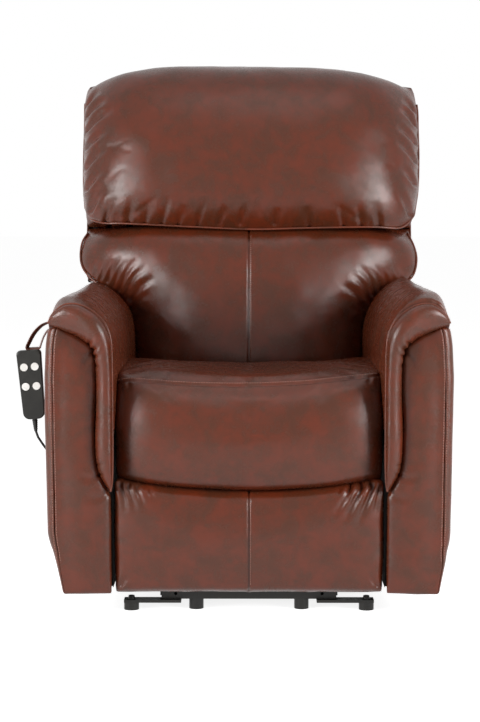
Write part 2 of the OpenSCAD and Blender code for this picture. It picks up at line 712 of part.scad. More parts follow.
// A round cable swept along its points: each ring stands square to the cable there
function unit(v) = v / norm(v);
function way(route, i) = unit(route[min(i + 1, len(route) - 1)] - route[max(i - 1, 0)]);
function ring(p, d, r, n) =
    let (u = unit(cross(d, [0, 1, 0.3])), v = cross(u, d))
    [for (k = [0 : n - 1]) p + r * (cos(360 * k / n) * u + sin(360 * k / n) * v)];
function spline(a, b, c, d, t) = 0.5 * (2 * b + (c - a) * t + (2 * a - 5 * b + 4 * c - d) * t * t
    + (3 * b - 3 * c + d - a) * t * t * t);
module cable(route, d, n = 8) {
    count = len(route);
    points = [for (i = [0 : count - 1]) each ring(route[i], way(route, i), d / 2, n)];
    faces = concat([[for (k = [0 : n - 1]) k]],
        [for (i = [0 : count - 2], k = [0 : n - 1])
            [i * n + k, (i + 1) * n + k, (i + 1) * n + (k + 1) % n, i * n + (k + 1) % n]],
        [[for (k = [n - 1 : -1 : 0]) (count - 1) * n + k]]);
    polyhedron(points, faces);
}
cable_line = concat([for (i = [0 : len(cable_route) - 2], s = [0, 0.5])
    spline(cable_route[max(i - 1, 0)], cable_route[i], cable_route[i + 1],
        cable_route[min(i + 2, len(cable_route) - 1)], s)], [cable_route[len(cable_route) - 1]]);
module handset_cable() placed() color(black) cable(cable_line, cable_d);
module cable_coil() placed() color(black) translate(coil_centre) rotate([0, 90, 0])
    rotate_extrude($fn = smooth) translate([coil_r[0], -coil_t / 2])
        square([coil_r[1] - coil_r[0], coil_t]);
module cable_grommet() placed() color(black)
    bar_x([coil_centre[1] + 31, coil_centre[2]], 8, coil_centre[0] + coil_t / 2, 1.5);

base_front_rail();
base_rear_rail();
base_side_rail_left();
base_side_rail_right();
stabiliser_left();
stabiliser_right();
base_feet();
lift_torque_tube();
front_lift_link_left();
front_lift_link_right();
rear_lift_link_left();
rear_lift_link_right();
lift_actuator();
lift_actuator_rod();
carcass_rail_left();
carcass_rail_right();
cross_members();
mechanism_plate_left();
mechanism_plate_right();
seat_frame();
seat_webbing();
seat_cushion();
arm_frame_left();
arm_frame_right();
arm_pad_left();
arm_pad_right();
arm_side_panel_left();
arm_side_panel_right();
arm_front_panel_left();
arm_front_panel_right();
arm_roll_left();
arm_roll_right();
side_pocket_left();
side_pocket_right();
power_supply();
back_frame();
back_webbing();
outer_back();
lumbar_cushion();
head_pillow();
back_actuator();
back_actuator_rod();
footrest_link_a();
footrest_link_b();
footrest_link_c();
footrest_link_d();
footrest_link_f();
footrest_brackets();
footrest_board();
footrest_pad();
handset();
handset_strap();
button_1();
button_2();
button_3();
button_4();
handset_relief();
handset_cable();
cable_coil();
cable_grommet();
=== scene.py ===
import json
import math

import bpy
import numpy as np
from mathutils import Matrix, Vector, noise
from mathutils.bvhtree import BVHTree


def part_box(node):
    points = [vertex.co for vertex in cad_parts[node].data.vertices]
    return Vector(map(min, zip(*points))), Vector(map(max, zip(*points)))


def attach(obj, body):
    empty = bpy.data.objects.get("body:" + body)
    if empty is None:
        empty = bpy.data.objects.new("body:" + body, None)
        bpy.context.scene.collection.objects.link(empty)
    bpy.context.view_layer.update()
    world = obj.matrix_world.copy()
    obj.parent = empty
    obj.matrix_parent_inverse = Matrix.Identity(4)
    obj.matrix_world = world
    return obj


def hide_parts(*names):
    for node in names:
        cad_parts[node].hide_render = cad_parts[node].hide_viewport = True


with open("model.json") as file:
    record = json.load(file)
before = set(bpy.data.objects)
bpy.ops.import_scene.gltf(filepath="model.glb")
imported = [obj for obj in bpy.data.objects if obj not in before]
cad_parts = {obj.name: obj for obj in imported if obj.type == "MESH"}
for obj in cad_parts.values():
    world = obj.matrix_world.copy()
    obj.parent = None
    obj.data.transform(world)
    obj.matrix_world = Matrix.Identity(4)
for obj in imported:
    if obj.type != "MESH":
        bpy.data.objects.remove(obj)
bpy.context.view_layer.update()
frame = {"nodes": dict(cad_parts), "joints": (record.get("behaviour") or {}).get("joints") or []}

# ---- Camera ----
# The chair is seen from straight in front and a little downwards, from the height of the
# lower part of its head pillow. Its places are measured from a point on the floor, midway
# between the arms and a little under half a metre behind the front of their rolls.
seat_low, seat_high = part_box("seat_cushion")
rolls_ahead = 0.46
chair_mid = Vector(((seat_low.x + seat_high.x) / 2,
                    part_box("arm_roll_left")[0].y + rolls_ahead, 0))


def at(x, y, z):
    """A place in the room, measured from the chair's own point on the floor."""
    return chair_mid + Vector((x, y, z))


def add(name, data):
    made = bpy.data.objects.new(name, data)
    bpy.context.scene.collection.objects.link(made)
    return made


lens = bpy.data.cameras.new("front_view")
lens.lens = 94.36
lens.sensor_width = 36
look_down, look_left = 4.858, 0.241
viewer = add("front_view", lens)
viewer.location = at(-0.0022, -4.231, 0.8441)
viewer.rotation_euler = (math.radians(90 - look_down), 0, math.radians(look_left))
bpy.context.scene.camera = viewer
bpy.context.scene.view_settings.view_transform = "Standard"

# ---- Handset cable ----
# A thin round rubber lead. It hangs from the handset's strain relief, goes over the edge of
# the side pocket, and its spare length lies there as a coil that ends in the arm's grommet.
def node(tree, kind, wires=None, **settings):
    """Adds a shader node. Each wire is a value, a socket, or a node for its first output."""
    made = tree.nodes.new(kind if kind.startswith("NodeGroup") else "ShaderNode" + kind)
    for key, value in settings.items():
        setattr(made, key, value)
    for socket, source in (wires or {}).items():
        if isinstance(source, bpy.types.Node):
            source = source.outputs[0]
        if isinstance(source, bpy.types.NodeSocket):
            tree.links.new(source, made.inputs[socket])
        else:
            made.inputs[socket].default_value = source
    return made


def two_tone(tree, share, first, second, **settings):
    """Mixes two colours, each of them a colour or a wire."""
    both = {6: first, 7: second}
    for socket, colour in both.items():
        if isinstance(colour, tuple):
            both[socket] = (*colour, 1)
    return node(tree, "Mix", {0: share, **both}, data_type="RGBA", **settings).outputs[2]


def coat(tree, wires):
    """Closes a material with its Principled surface."""
    node(tree, "OutputMaterial", {0: node(tree, "BsdfPrincipled", wires)})


def new_material(name):
    made = bpy.data.materials.new(name)
    made.use_nodes = True
    made.node_tree.nodes.clear()
    return made, made.node_tree


def new_group(name, inputs, outputs):
    """Begins a shared effect. It gives the group, its inputs and the object's own places."""
    made = bpy.data.node_groups.new(name, "ShaderNodeTree")
    for label, kind, value in inputs:
        made.interface.new_socket(label, in_out="INPUT",
                                  socket_type="NodeSocket" + kind).default_value = value
    for label, kind in outputs:
        made.interface.new_socket(label, in_out="OUTPUT", socket_type="NodeSocket" + kind)
    return made, node(made, "NodeGroupInput").outputs, node(made, "TexCoord").outputs["Object"]


def placed(tree, group, **inputs):
    """Places a shared effect in a material with its own values."""
    made = node(tree, "Group", node_tree=group)
    for label, value in inputs.items():
        made.inputs[label].default_value = value
    return made.outputs


grit, given, where = new_group("moulded_grit", [("Size", "Float", 1400.0)],
                               [("Height", "Float"), ("Dust", "Float")])
fine = node(grit, "TexNoise", {"Vector": where, "Scale": given["Size"], "Detail": 3.0})
wider = node(grit, "Math", {0: given["Size"], 1: 0.012}, operation="MULTIPLY")
settled = node(grit, "TexNoise", {"Vector": where, "Scale": wider, "Detail": 4.0,
                                  "Roughness": 0.65})
dusty = node(grit, "MapRange", {0: settled, 1: 0.42, 2: 0.72})
node(grit, "NodeGroupOutput", {0: fine, 1: dusty})


def moulded(name, colour, dusted, rough, size=1400.0, depth=0.00012, metallic=0.0):
    """Plastic, rubber, powder coat or plate: a fine grit, and dust that dulls it in places."""
    made, tree = new_material(name)
    skin = placed(tree, grit, Size=size)
    gloss = node(tree, "MapRange", {0: skin["Dust"], 3: rough, 4: min(rough + 0.12, 1)})
    bump = node(tree, "Bump", {"Height": skin["Height"], "Strength": 0.4, "Distance": depth})
    coat(tree, {"Base Color": two_tone(tree, skin["Dust"], colour, dusted), "Roughness": gloss,
                "Normal": bump, "Metallic": metallic, "Specular IOR Level": 0.3})
    return made


def fit(piece, body, slot, *replaced):
    """Puts a piece on its body, in place of the CAD nodes it stands for. Its slot is not used.
    """
    if replaced:
        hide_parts(*replaced)
    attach(piece, body)
    return piece


rubber = moulded("soft_rubber", (0.016, 0.0155, 0.015), (0.03, 0.029, 0.027), 0.55, 900.0,
                 0.0002)

lead_d = 0.005
lead_exit = at(-0.4445, -0.31, 0.3638)
lead_points = [lead_exit] + [at(*p) for p in (
    (-0.4405, -0.3075, 0.351), (-0.4325, -0.2985, 0.336), (-0.425, -0.283, 0.3215),
    (-0.419, -0.263, 0.31), (-0.4165, -0.242, 0.295), (-0.416, -0.227, 0.272),
    (-0.416, -0.222, 0.244), (-0.416, -0.222, 0.216))]
coil_low, coil_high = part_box("cable_coil")
coil_mid = (coil_low + coil_high) / 2
coil_turns, inner_turn, coil_steps = 5.55, 2.75, 24
outer_r, inner_r, end_r = 0.0357, 0.0265, 0.031
for step in range(int(coil_turns * coil_steps) + 1):
    turn = step / coil_steps
    way_in = min(turn, max(2 * inner_turn - turn, 0)) / inner_turn
    layer = 0.5 - 0.5 * math.cos(math.pi * min(max((turn - 2.5) / 0.5, 0), 1))
    a = math.radians(160) + 2 * math.pi * turn
    near_end = min(max((turn - 5.3) / 0.25, 0), 1) ** 2
    radius = outer_r + (inner_r - outer_r) * way_in + (end_r - outer_r) * near_end
    lead_points.append(coil_mid + Vector((-0.0025 + 0.005 * layer + 0.0038 * near_end,
                                          radius * math.cos(a), radius * math.sin(a))))
lead_curve = bpy.data.curves.new("handset_lead", "CURVE")
lead_curve.dimensions = "3D"
lead_curve.bevel_depth = lead_d / 2
lead_curve.bevel_resolution = lead_curve.resolution_u = 3
lead_curve.use_fill_caps = True
lead_curve.materials.append(rubber)
spline = lead_curve.splines.new("POLY")
spline.points.add(len(lead_points) - 1)
for point, place in zip(spline.points, lead_points):
    point.co = (*place, 1)
lead = add("handset_lead", lead_curve)
fit(lead, "carcass", "black_rubber", "handset_cable", "cable_coil")


# ---- Floor and lights ----
# A pale studio floor that runs out of sight, a white surround, and two large softboxes to
# the left and right of the camera with a weak third one above.
def mesh_object(name, points, faces, material=None):
    mesh = bpy.data.meshes.new(name)
    mesh.from_pydata([tuple(p) for p in points], [], faces)
    mesh.polygons.foreach_set("use_smooth", [True] * len(mesh.polygons))
    if material:
        mesh.materials.append(material)
    return add(name, mesh)


def surround(tree, plain, white, closing):
    """Shows white to camera, glossy and transmission rays, and the plain shader to others."""
    path = node(tree, "LightPath").outputs
    seen = node(tree, "Math", {0: path["Is Camera Ray"], 1: path["Is Glossy Ray"]},
                operation="MAXIMUM")
    seen = node(tree, "Math", {0: seen, 1: path["Is Transmission Ray"]}, operation="MAXIMUM")
    node(tree, closing, {0: node(tree, "MixShader", {0: seen, 1: plain, 2: white})})


floor_mat, tree = new_material("studio_floor")
lit = node(tree, "BsdfDiffuse", {"Color": (0.8, 0.8, 0.8, 1)})
glow = node(tree, "Emission", {"Color": (1, 1, 1, 1), "Strength": 0.85})
surround(tree, lit, node(tree, "AddShader", {0: lit, 1: glow}), "OutputMaterial")
reach = 40
mesh_object("floor", [(-reach, -reach, 0), (reach, -reach, 0), (reach, reach, 0),
                               (-reach, reach, 0)], [(0, 1, 2, 3)], floor_mat)

world = bpy.data.worlds.new("studio")
bpy.context.scene.world = world
world.use_nodes = True
tree = world.node_tree
tree.nodes.clear()
surround(tree, node(tree, "Background", {"Color": (1, 1, 1, 1), "Strength": 0.17}),
         node(tree, "Background", {"Color": (1, 1, 1, 1), "Strength": 1}), "OutputWorld")

for name, side, turn, rise, away, size, power in (
        ("softbox_left", -1, 54, 10, 3.0, (0.72, 1.3), 95),
        ("softbox_right", 1, 54, 10, 3.0, (0.72, 1.3), 93),
        ("softbox_above", 0.2, 50, 68, 2.8, (1.8, 0.9), 7)):
    lamp = bpy.data.lights.new(name, "AREA")
    lamp.shape = "RECTANGLE"
    lamp.size, lamp.size_y = size
    lamp.energy = power
    box = add(name, lamp)
    aim = at(0, -0.1, 0.62)
    turn, rise = math.radians(turn), math.radians(rise)
    box.location = aim + away * Vector((side * math.sin(turn) * math.cos(rise),
                                        -math.cos(turn) * math.cos(rise), math.sin(rise)))
    box.rotation_euler = (aim - box.location).to_track_quat("-Z", "Y").to_euler()

# ---- Leather ----
# Every cover is cut from the same drum-dyed hide: a red-brown finish rubbed back over a
# darker one in cloudy patches, with a fine natural grain and a soft semi-gloss top coat.
clouds, given, where = new_group(
    "rubbed_patches",
    [("Light", "Color", (0.2, 0.05, 0.03, 1)), ("Dark", "Color", (0.08, 0.03, 0.02, 1)),
     ("Patches", "Float", 13.0)], [("Color", "Color"), ("Mask", "Float")])
wide = node(clouds, "TexNoise", {"Vector": where, "Scale": given["Patches"], "Detail": 3.0,
                                 "Roughness": 0.55, "Distortion": 0.5})
closer = node(clouds, "Math", {0: given["Patches"], 1: 4.3}, operation="MULTIPLY")
small = node(clouds, "TexNoise", {"Vector": where, "Scale": closer, "Detail": 4.0,
                                  "Roughness": 0.6})
mixed = node(clouds, "Mix", {0: 0.36, 2: wide, 3: small})
mask = node(clouds, "MapRange", {0: mixed, 1: 0.36, 2: 0.66}, interpolation_type="SMOOTHSTEP")
shade = two_tone(clouds, mask, given["Dark"], given["Light"])
node(clouds, "NodeGroupOutput", {0: shade, 1: mask})

grain, given, where = new_group("hide_grain", [("Cells", "Float", 520.0)],
                                [("Height", "Float"), ("Pits", "Float")])
cells = node(grain, "TexVoronoi", {"Vector": where, "Scale": given["Cells"]},
             feature="DISTANCE_TO_EDGE")
pits = node(grain, "MapRange", {0: cells, 1: 0.0, 2: 0.22}, interpolation_type="SMOOTHSTEP")
wider = node(grain, "Math", {0: given["Cells"], 1: 0.24}, operation="MULTIPLY")
pebble = node(grain, "TexNoise", {"Vector": where, "Scale": wider, "Detail": 2.0})
height = node(grain, "Math", {0: pebble, 1: 1.6, 2: pits}, operation="MULTIPLY_ADD")
node(grain, "NodeGroupOutput", {0: height, 1: pits})


def leather(name, light, dark, cells=560.0, gloss=0.245, depth=0.00012):
    made, tree = new_material(name)
    tone = placed(tree, clouds, Light=(*light, 1), Dark=(*dark, 1), Patches=22.0)
    skin = placed(tree, grain, Cells=cells)
    sunk = node(tree, "MapRange", {0: skin["Pits"], 3: 0.72, 4: 1.0})
    colour = two_tone(tree, 1.0, tone["Color"], sunk, blend_type="MULTIPLY")
    rough = node(tree, "MapRange", {0: tone["Mask"], 3: gloss + 0.05, 4: gloss - 0.03})
    bump = node(tree, "Bump", {"Height": skin["Height"], "Strength": 0.5, "Distance": depth})
    coat(tree, {"Base Color": colour, "Roughness": rough, "Normal": bump,
                "Specular IOR Level": 0.33})
    return made


hide = leather("rubbed_hide", (0.113, 0.02, 0.007), (0.069, 0.0188, 0.0078))
# The piping's hide is lighter than the covers' hide: a painted highlight on the welts.
piping_painted_highlight = leather("piping_painted_highlight", (0.165, 0.038, 0.018), (0.105, 0.032, 0.018), 900.0,
                      0.25, 0.00006)
lining_hide = leather("outside_hide", (0.108, 0.0202, 0.0074), (0.07, 0.0195, 0.008),
                      gloss=0.27)

# Black lining cloth: a real lining, whose near-black colour also paints the shade in the gaps
# beside the seat and the footrest.
lining_cloth_painted_gap_shade, tree = new_material("black_lining_cloth")
fuzz = node(tree, "TexNoise", {"Scale": 900.0, "Detail": 3.0})
coat(tree, {"Base Color": two_tone(tree, fuzz, (0.008, 0.008, 0.008), (0.02, 0.019, 0.018)),
            "Roughness": 0.95, "Specular IOR Level": 0.1})

thread, tree = new_material("sewing_thread")
twist = node(tree, "TexWave", {"Scale": 900.0, "Distortion": 1.5})
coat(tree, {"Base Color": two_tone(tree, twist, (0.2, 0.07, 0.045), (0.34, 0.145, 0.1)),
            "Roughness": 0.55, "Sheen Weight": 0.3})


# ---- Seat cushion ----
# A foam block under one leather cover that rolls over the front edge. The cover has a cross
# seam where the roll meets the top, and it is a little hollow in the middle from sitting.
def chair(points):
    """From the chair's own point on the floor to the room."""
    return np.asarray(points, float) + np.array(chair_mid)


def from_chair(points):
    return np.asarray(points, float) - np.array(chair_mid)


def mirrored(points, side):
    """A line drawn at positive X, for the given side."""
    return np.asarray(points, float) * np.array((side, 1, 1))


def smooth_line(points, count):
    """count places evenly along a smooth line through the points."""
    p = np.array(points, float)
    ends = np.vstack([2 * p[0] - p[1], p, 2 * p[-1] - p[-2]])
    line = []
    for a, b, c, d in zip(ends, ends[1:], ends[2:], ends[3:]):
        for s in np.linspace(0, 1, 9)[:-1]:
            line.append(0.5 * (2 * b + (c - a) * s + (2 * a - 5 * b + 4 * c - d) * s * s
                               + (3 * b - 3 * c + d - a) * s ** 3))
    line = np.array(line + [p[-1]])
    along = np.r_[0, np.cumsum(np.linalg.norm(np.diff(line, axis=0), axis=1))]
    steps = np.linspace(0, along[-1], count)
    return np.column_stack([np.interp(steps, along, line[:, k]) for k in range(3)])


def stretched(bottom, top, left, right, nu, nv):
    """A grid stretched between four edges, with each place's share across and up."""
    b, t = (smooth_line(x, nu + 1) for x in (bottom, top))
    l, r = (smooth_line(x, nv + 1) for x in (left, right))
    l[0], l[-1], r[0], r[-1] = b[0], t[0], b[-1], t[-1]
    u = np.linspace(0, 1, nu + 1)[None, :, None]
    v = np.linspace(0, 1, nv + 1)[:, None, None]
    grid = ((1 - v) * b[None] + v * t[None] + (1 - u) * l[:, None] + u * r[:, None]
            - (1 - u) * (1 - v) * b[0] - u * (1 - v) * b[-1] - (1 - u) * v * t[0]
            - u * v * t[-1])
    return grid, u, v


def grid_at(x, y, z):
    """A grid of places from its across, depth and height, each a number or an array."""
    return np.stack(np.broadcast_arrays(x, y, z), axis=-1).astype(float)


def panel(bottom, top, left, right, middle, nu, nv, flat=6, blunt=2):
    """A leather panel between four edges that rises to the middle line, as a grid."""
    grid, u, _ = stretched(bottom, top, left, right, nu, nv)
    rise = smooth_line(middle, nv + 1) - grid[:, nu // 2]
    rise[0] = rise[-1] = 0
    crown = (1 - np.abs(2 * u - 1) ** flat) ** (1 / blunt)
    return grid + crown * rise[:, None, :]


def shell(name, front, back_, rings, to_world, body, material, *replaced):
    """A closed cover: a front and a back grid joined round the edge by a boxing strip."""
    rows, cols = front.shape[:2]
    count = rows * cols
    index = np.arange(count).reshape(rows, cols)
    edge = np.r_[index[0, :-1], index[:-1, -1], index[-1, :0:-1], index[:0:-1, 0]]
    points = [front.reshape(-1, 3), back_.reshape(-1, 3)]
    hoops = [edge]
    for k in range(1, rings):
        share = k / rings
        points.append(points[0][edge] * (1 - share) + points[1][edge] * share)
        hoops.append(2 * count + (k - 1) * len(edge) + np.arange(len(edge)))
    hoops.append(edge + count)
    faces = []
    for j in range(rows - 1):
        for i in range(cols - 1):
            quad = (index[j, i], index[j, i + 1], index[j + 1, i + 1], index[j + 1, i])
            faces.append(quad)
            faces.append(tuple(q + count for q in reversed(quad)))
    for near, far in zip(hoops, hoops[1:]):
        for k in range(len(edge)):
            n = (k + 1) % len(edge)
            faces.append((near[k], far[k], far[n], near[n]))
    piece = mesh_object(name, to_world(np.vstack(points)), faces, material)
    mesh = piece.data
    share = np.full((len(mesh.vertices), 2), -1.0)
    share[:count, 0] = np.tile(np.linspace(0, 1, cols), rows)
    share[:count, 1] = np.repeat(np.linspace(0, 1, rows), cols)
    for k, label in enumerate(("across", "along")):
        mesh.attributes.new(label, "FLOAT", "POINT").data.foreach_set("value", share[:, k])
    return fit(piece, body, "leather", *replaced)


def places(piece, kind="co"):
    """Where a piece's points are, or with "normal" the way they face."""
    found = np.zeros(len(piece.data.vertices) * 3)
    piece.data.vertices.foreach_get(kind, found)
    return found.reshape(-1, 3)


def put(piece, co):
    piece.data.vertices.foreach_set("co", co.astype(np.float32).ravel())
    piece.data.update()


def sewn_edges(piece, width, height, reach):
    """How firmly each point is held, and where the leather is cut with spare to gather."""
    across, along = np.zeros((2, len(piece.data.vertices)))
    for label, value in (("across", across), ("along", along)):
        piece.data.attributes[label].data.foreach_get("value", value)
    edge = np.minimum(np.minimum(across, 1 - across) * width,
                      np.minimum(along, 1 - along) * height)
    seam_wide, at_seam, loose = 0.003, 0.35, 0.06
    firm = np.where(edge < seam_wide, 1.0, np.clip(at_seam - edge * 9, loose, at_seam))
    front = across >= 0
    return np.where(front, firm, 1.0), np.where(front, np.clip(1.15 - edge / reach, 0, 1), 0)


def settle(piece, held, spare, ease, pressure, cap):
    """Fills the cover like a cushion: the seams stay where they are sewn (held 1), and the
    leather, cut a little larger where spare is 1, swells and gathers between them."""
    rest = places(piece)
    for label, weights in (("sewn", held), ("spare", spare)):
        group = piece.vertex_groups.new(name=label)
        for step in np.unique(np.round(weights, 2)):
            if step > 0:
                chosen = np.nonzero(np.round(weights, 2) == step)[0]
                group.add([int(k) for k in chosen], float(step), "REPLACE")
    cloth = piece.modifiers.new("filling", "CLOTH")
    for key, value in {
            "quality": 6, "mass": 0.25, "tension_stiffness": 18, "compression_stiffness": 18,
            "shear_stiffness": 8, "bending_stiffness": 0.6, "vertex_group_mass": "sewn",
            "pin_stiffness": 2.0, "use_pressure": True, "uniform_pressure_force": pressure,
            "vertex_group_shrink": "spare", "shrink_min": 0.0, "shrink_max": -ease,
            "air_damping": 4}.items():
        setattr(cloth.settings, key, value)
    cloth.settings.effector_weights.gravity = 0
    scene, frames = bpy.context.scene, 20
    cloth.point_cache.frame_start, cloth.point_cache.frame_end = 1, frames
    scene.frame_start, scene.frame_end = 1, frames
    for f in range(1, frames + 1):
        scene.frame_set(f)
    moved = places(piece.evaluated_get(bpy.context.evaluated_depsgraph_get())) - rest
    far = np.linalg.norm(moved, axis=1, keepdims=True)
    piece.modifiers.remove(cloth)
    scene.frame_set(1)
    put(piece, rest + moved * np.minimum(1, cap / np.maximum(far, 1e-9)))


def refine(piece):
    """Subdivides the settled mesh and keeps the result as the piece's own mesh."""
    finer = piece.modifiers.new("finer", "SUBSURF")
    finer.levels = finer.render_levels = 1
    depsgraph = bpy.context.evaluated_depsgraph_get()
    mesh = bpy.data.meshes.new_from_object(
        piece.evaluated_get(depsgraph), preserve_all_data_layers=True, depsgraph=depsgraph)
    piece.modifiers.remove(finer)
    old, piece.data = piece.data, mesh
    bpy.data.meshes.remove(old)
    mesh.polygons.foreach_set("use_smooth", [True] * len(mesh.polygons))


def stuffed(piece, fill, width, height, reach=0.06, **filling):
    """Sews a cover's edges down, fills it and refines it."""
    settle(piece, *sewn_edges(piece, width, height, reach), **filling)
    refine(piece)


def uneven(piece, amount, size, seed):
    """The slight unevenness that every stuffed cover has."""
    co = places(piece)
    shift = Vector((seed * 3.1, seed * 1.7, seed * 2.3))
    height = np.array([noise.noise(Vector(p) / size + shift)
                       + 0.45 * noise.noise(Vector(p) / size * 2.3 - shift) for p in co])
    put(piece, co + places(piece, "normal") * (height * amount)[:, None])


def press(piece, folds, to_local, seams=()):
    """Presses folds, which fade out towards their far ends, and seams into a cover. Each is
    its places as seen from the front (across, up), its width and its depth."""
    co = places(piece)
    flat, facing = to_local(co)[:, [0, 2]], places(piece, "normal")
    front = np.clip((0.15 - facing[:, 1]) / 0.3, 0, 1)
    sink = np.zeros(len(co))
    for line, width, depth, fades in [(*seam, False) for seam in seams] + [
            (*fold, True) for fold in folds]:
        line = np.array(line, float)
        if len(line) > 2:
            line = smooth_line(np.column_stack([line, np.zeros(len(line))]), 24)[:, :2]
        lengths = np.linalg.norm(np.diff(line, axis=0), axis=1)
        total = lengths.sum()
        best, at_best = np.full(len(co), 1e9), np.zeros(len(co))
        done = 0
        for a, b, length in zip(line, line[1:], lengths):
            t = np.clip((flat - a) @ (b - a) / max(length ** 2, 1e-12), 0, 1)
            gap = np.linalg.norm(flat - a - t[:, None] * (b - a), axis=1)
            nearer = gap < best
            best = np.where(nearer, gap, best)
            at_best = np.where(nearer, (done + t * length) / total, at_best)
            done += length
        q = best / (width * (1 + (0.8 * at_best if fades else 0)))
        share = np.clip(1 - at_best, 0, 1) ** 0.8 if fades else 1
        sink += depth * share * (1 - 1.3 * q * q) * np.exp(-q * q)
    put(piece, co - facing * (sink * front)[:, None])


def walls(rings, sides, base=0):
    """The faces between a row of rings of points, each ring with the same number of sides."""
    return [(base + r * sides + s, base + r * sides + t, base + r * sides + sides + t,
             base + r * sides + sides + s)
            for r in range(rings - 1) for s, t in enumerate([*range(1, sides), 0])]


def stitches(name, lines, body, pitch=0.0052, length=0.0036):
    """Rows of single stitches along lines of places in the room, as one piece."""
    points, faces, radius = [], [], 0.0006
    for line in lines:
        line = np.array(line, float)
        along = np.r_[0, np.cumsum(np.linalg.norm(np.diff(line, axis=0), axis=1))]
        count = int(along[-1] / pitch)
        for k in range(count):
            middle = (k + 0.5) * pitch
            ends = [np.array([np.interp(middle + e * length / 2, along, line[:, c])
                              for c in range(3)]) for e in (-1, 1)]
            ahead = ends[1] - ends[0]
            ahead /= max(np.linalg.norm(ahead), 1e-12)
            side = np.cross(ahead, (0.1, 1.0, 0.2))
            side /= np.linalg.norm(side)
            up = np.cross(side, ahead)
            base = len(points)
            for share, r in ((0, 0.45), (0.25, 1), (0.75, 1), (1, 0.45)):
                spot = ends[0] + share * (ends[1] - ends[0])
                for s in range(5):
                    a = 2 * math.pi * s / 5
                    points.append(spot + radius * r * (math.cos(a) * side + math.sin(a) * up))
            faces += walls(4, 5, base)
            faces.append(tuple(base + s for s in range(4, -1, -1)))
            faces.append(tuple(base + 15 + s for s in range(5)))
    return fit(mesh_object(name, points, faces, thread), body, "leather")


def lay_on(piece, line, to_world, lift=0.0003):
    """Places on the cover's surface under a line given as seen from the front."""
    skin = BVHTree.FromPolygons([v.co for v in piece.data.vertices],
                                [p.vertices[:] for p in piece.data.polygons])
    found = []
    for x, z in line:
        start, aim = (Vector(to_world([[x, y, z]])[0]) for y in (-2, 0))
        hit, normal, _, _ = skin.ray_cast(start, (aim - start).normalized())
        if hit is not None:
            found.append(hit + normal * lift)
    return found


seat_nu, seat_nv = 78, 100
seat_side = [(0.2655, -0.402, 0.278), (0.268, -0.406, 0.3), (0.2695, -0.408, 0.34),
             (0.27, -0.405, 0.4), (0.268, -0.392, 0.445), (0.2675, -0.37, 0.468),
             (0.2665, -0.28, 0.474), (0.2665, -0.15, 0.475), (0.2665, 0.0, 0.473),
             (0.264, 0.07, 0.462)]
seat_face = panel(
    bottom=[(x, -0.424 + 0.022 * (x / 0.2655) ** 4, 0.256 + 0.022 * (x / 0.265) ** 2) for x in
            (-0.2655, -0.22, -0.15, -0.07, 0, 0.07, 0.15, 0.22, 0.2655)],
    top=[(-0.264, 0.07, 0.462), (-0.12, 0.07, 0.461), (0, 0.07, 0.46), (0.12, 0.07, 0.461),
         (0.264, 0.07, 0.462)],
    left=mirrored(seat_side, -1), right=seat_side,
    middle=[(0, -0.424, 0.256), (0, -0.442, 0.268), (0, -0.453, 0.3), (0, -0.4565, 0.34),
            (0, -0.455, 0.39), (0, -0.446, 0.43), (0, -0.425, 0.457), (0, -0.39, 0.47),
            (0, -0.3, 0.4745), (0, -0.15, 0.476), (0, 0.0, 0.474), (0, 0.07, 0.46)],
    nu=seat_nu, nv=seat_nv, flat=5)
upper = np.clip((seat_face[:, seat_nu // 2, 2] - 0.43) / 0.035, 0, 1)[:, None]
seat_face[..., 2] += 0.0185 * (seat_face[..., 0] / 0.265) ** 2 * upper
seat_face[..., 0] *= 1.016
steps = np.linspace(0, 1, seat_nv + 1)[:, None]
seat_under = grid_at(np.linspace(-0.252, 0.252, seat_nu + 1)[None], -0.385 + 0.44 * steps,
                     0.285 + 0.078 * np.clip((steps - 0.06) / 0.09, 0, 1))
seat = shell("seat_cover", seat_face, seat_under, 8, chair, "carcass", hide, "seat_cushion")
stuffed(seat, 0.75, 0.54, 0.75, ease=0.07, pressure=3.5, cap=0.012)
uneven(seat, 0.0022, 0.11, 1)
seat_seam = [(-0.268, 0.474), (-0.24, 0.479), (-0.17, 0.4735), (-0.089, 0.469), (0.01, 0.468),
             (0.1, 0.472), (0.17, 0.479), (0.24, 0.486), (0.268, 0.488)]
press(seat, [([(x, z), (x + dx, z - long)], 0.005, 0.0016) for x, z, dx, long in (
    (-0.262, 0.47, 0.004, 0.02), (-0.245, 0.474, 0.003, 0.014),
    (0.263, 0.482, -0.004, 0.022), (0.246, 0.484, -0.003, 0.015))],
      from_chair, [(seat_seam, 0.003, 0.0042)])
seam_line = smooth_line([(x, 0, z + 0.004) for x, z in seat_seam], 120)[:, [0, 2]]
stitches("seat_stitches", [lay_on(seat, seam_line, chair)], "carcass")

# ---- Footrest pad ----
# A flat pad on the footrest board, sewn from two pieces of leather with a seam down the
# middle. The cover is pulled round the edges, and it creases at the top corners.
def foot_edge(z_mid, z_side, y, half):
    return [(x, y, z_mid + (z_side - z_mid) * (x / half) ** 2)
            for x in np.linspace(-half, half, 9)]


def swollen(bottom, top, left, right, nu, nv, rise, flat=8):
    """A panel between four edges that swells by rise, a vector, in its middle."""
    grid, u, v = stretched(bottom, top, left, right, nu, nv)
    crown = ((1 - np.abs(2 * u - 1) ** flat) * (1 - np.abs(2 * v - 1) ** flat)) ** 0.5
    return grid + crown * np.array(rise)


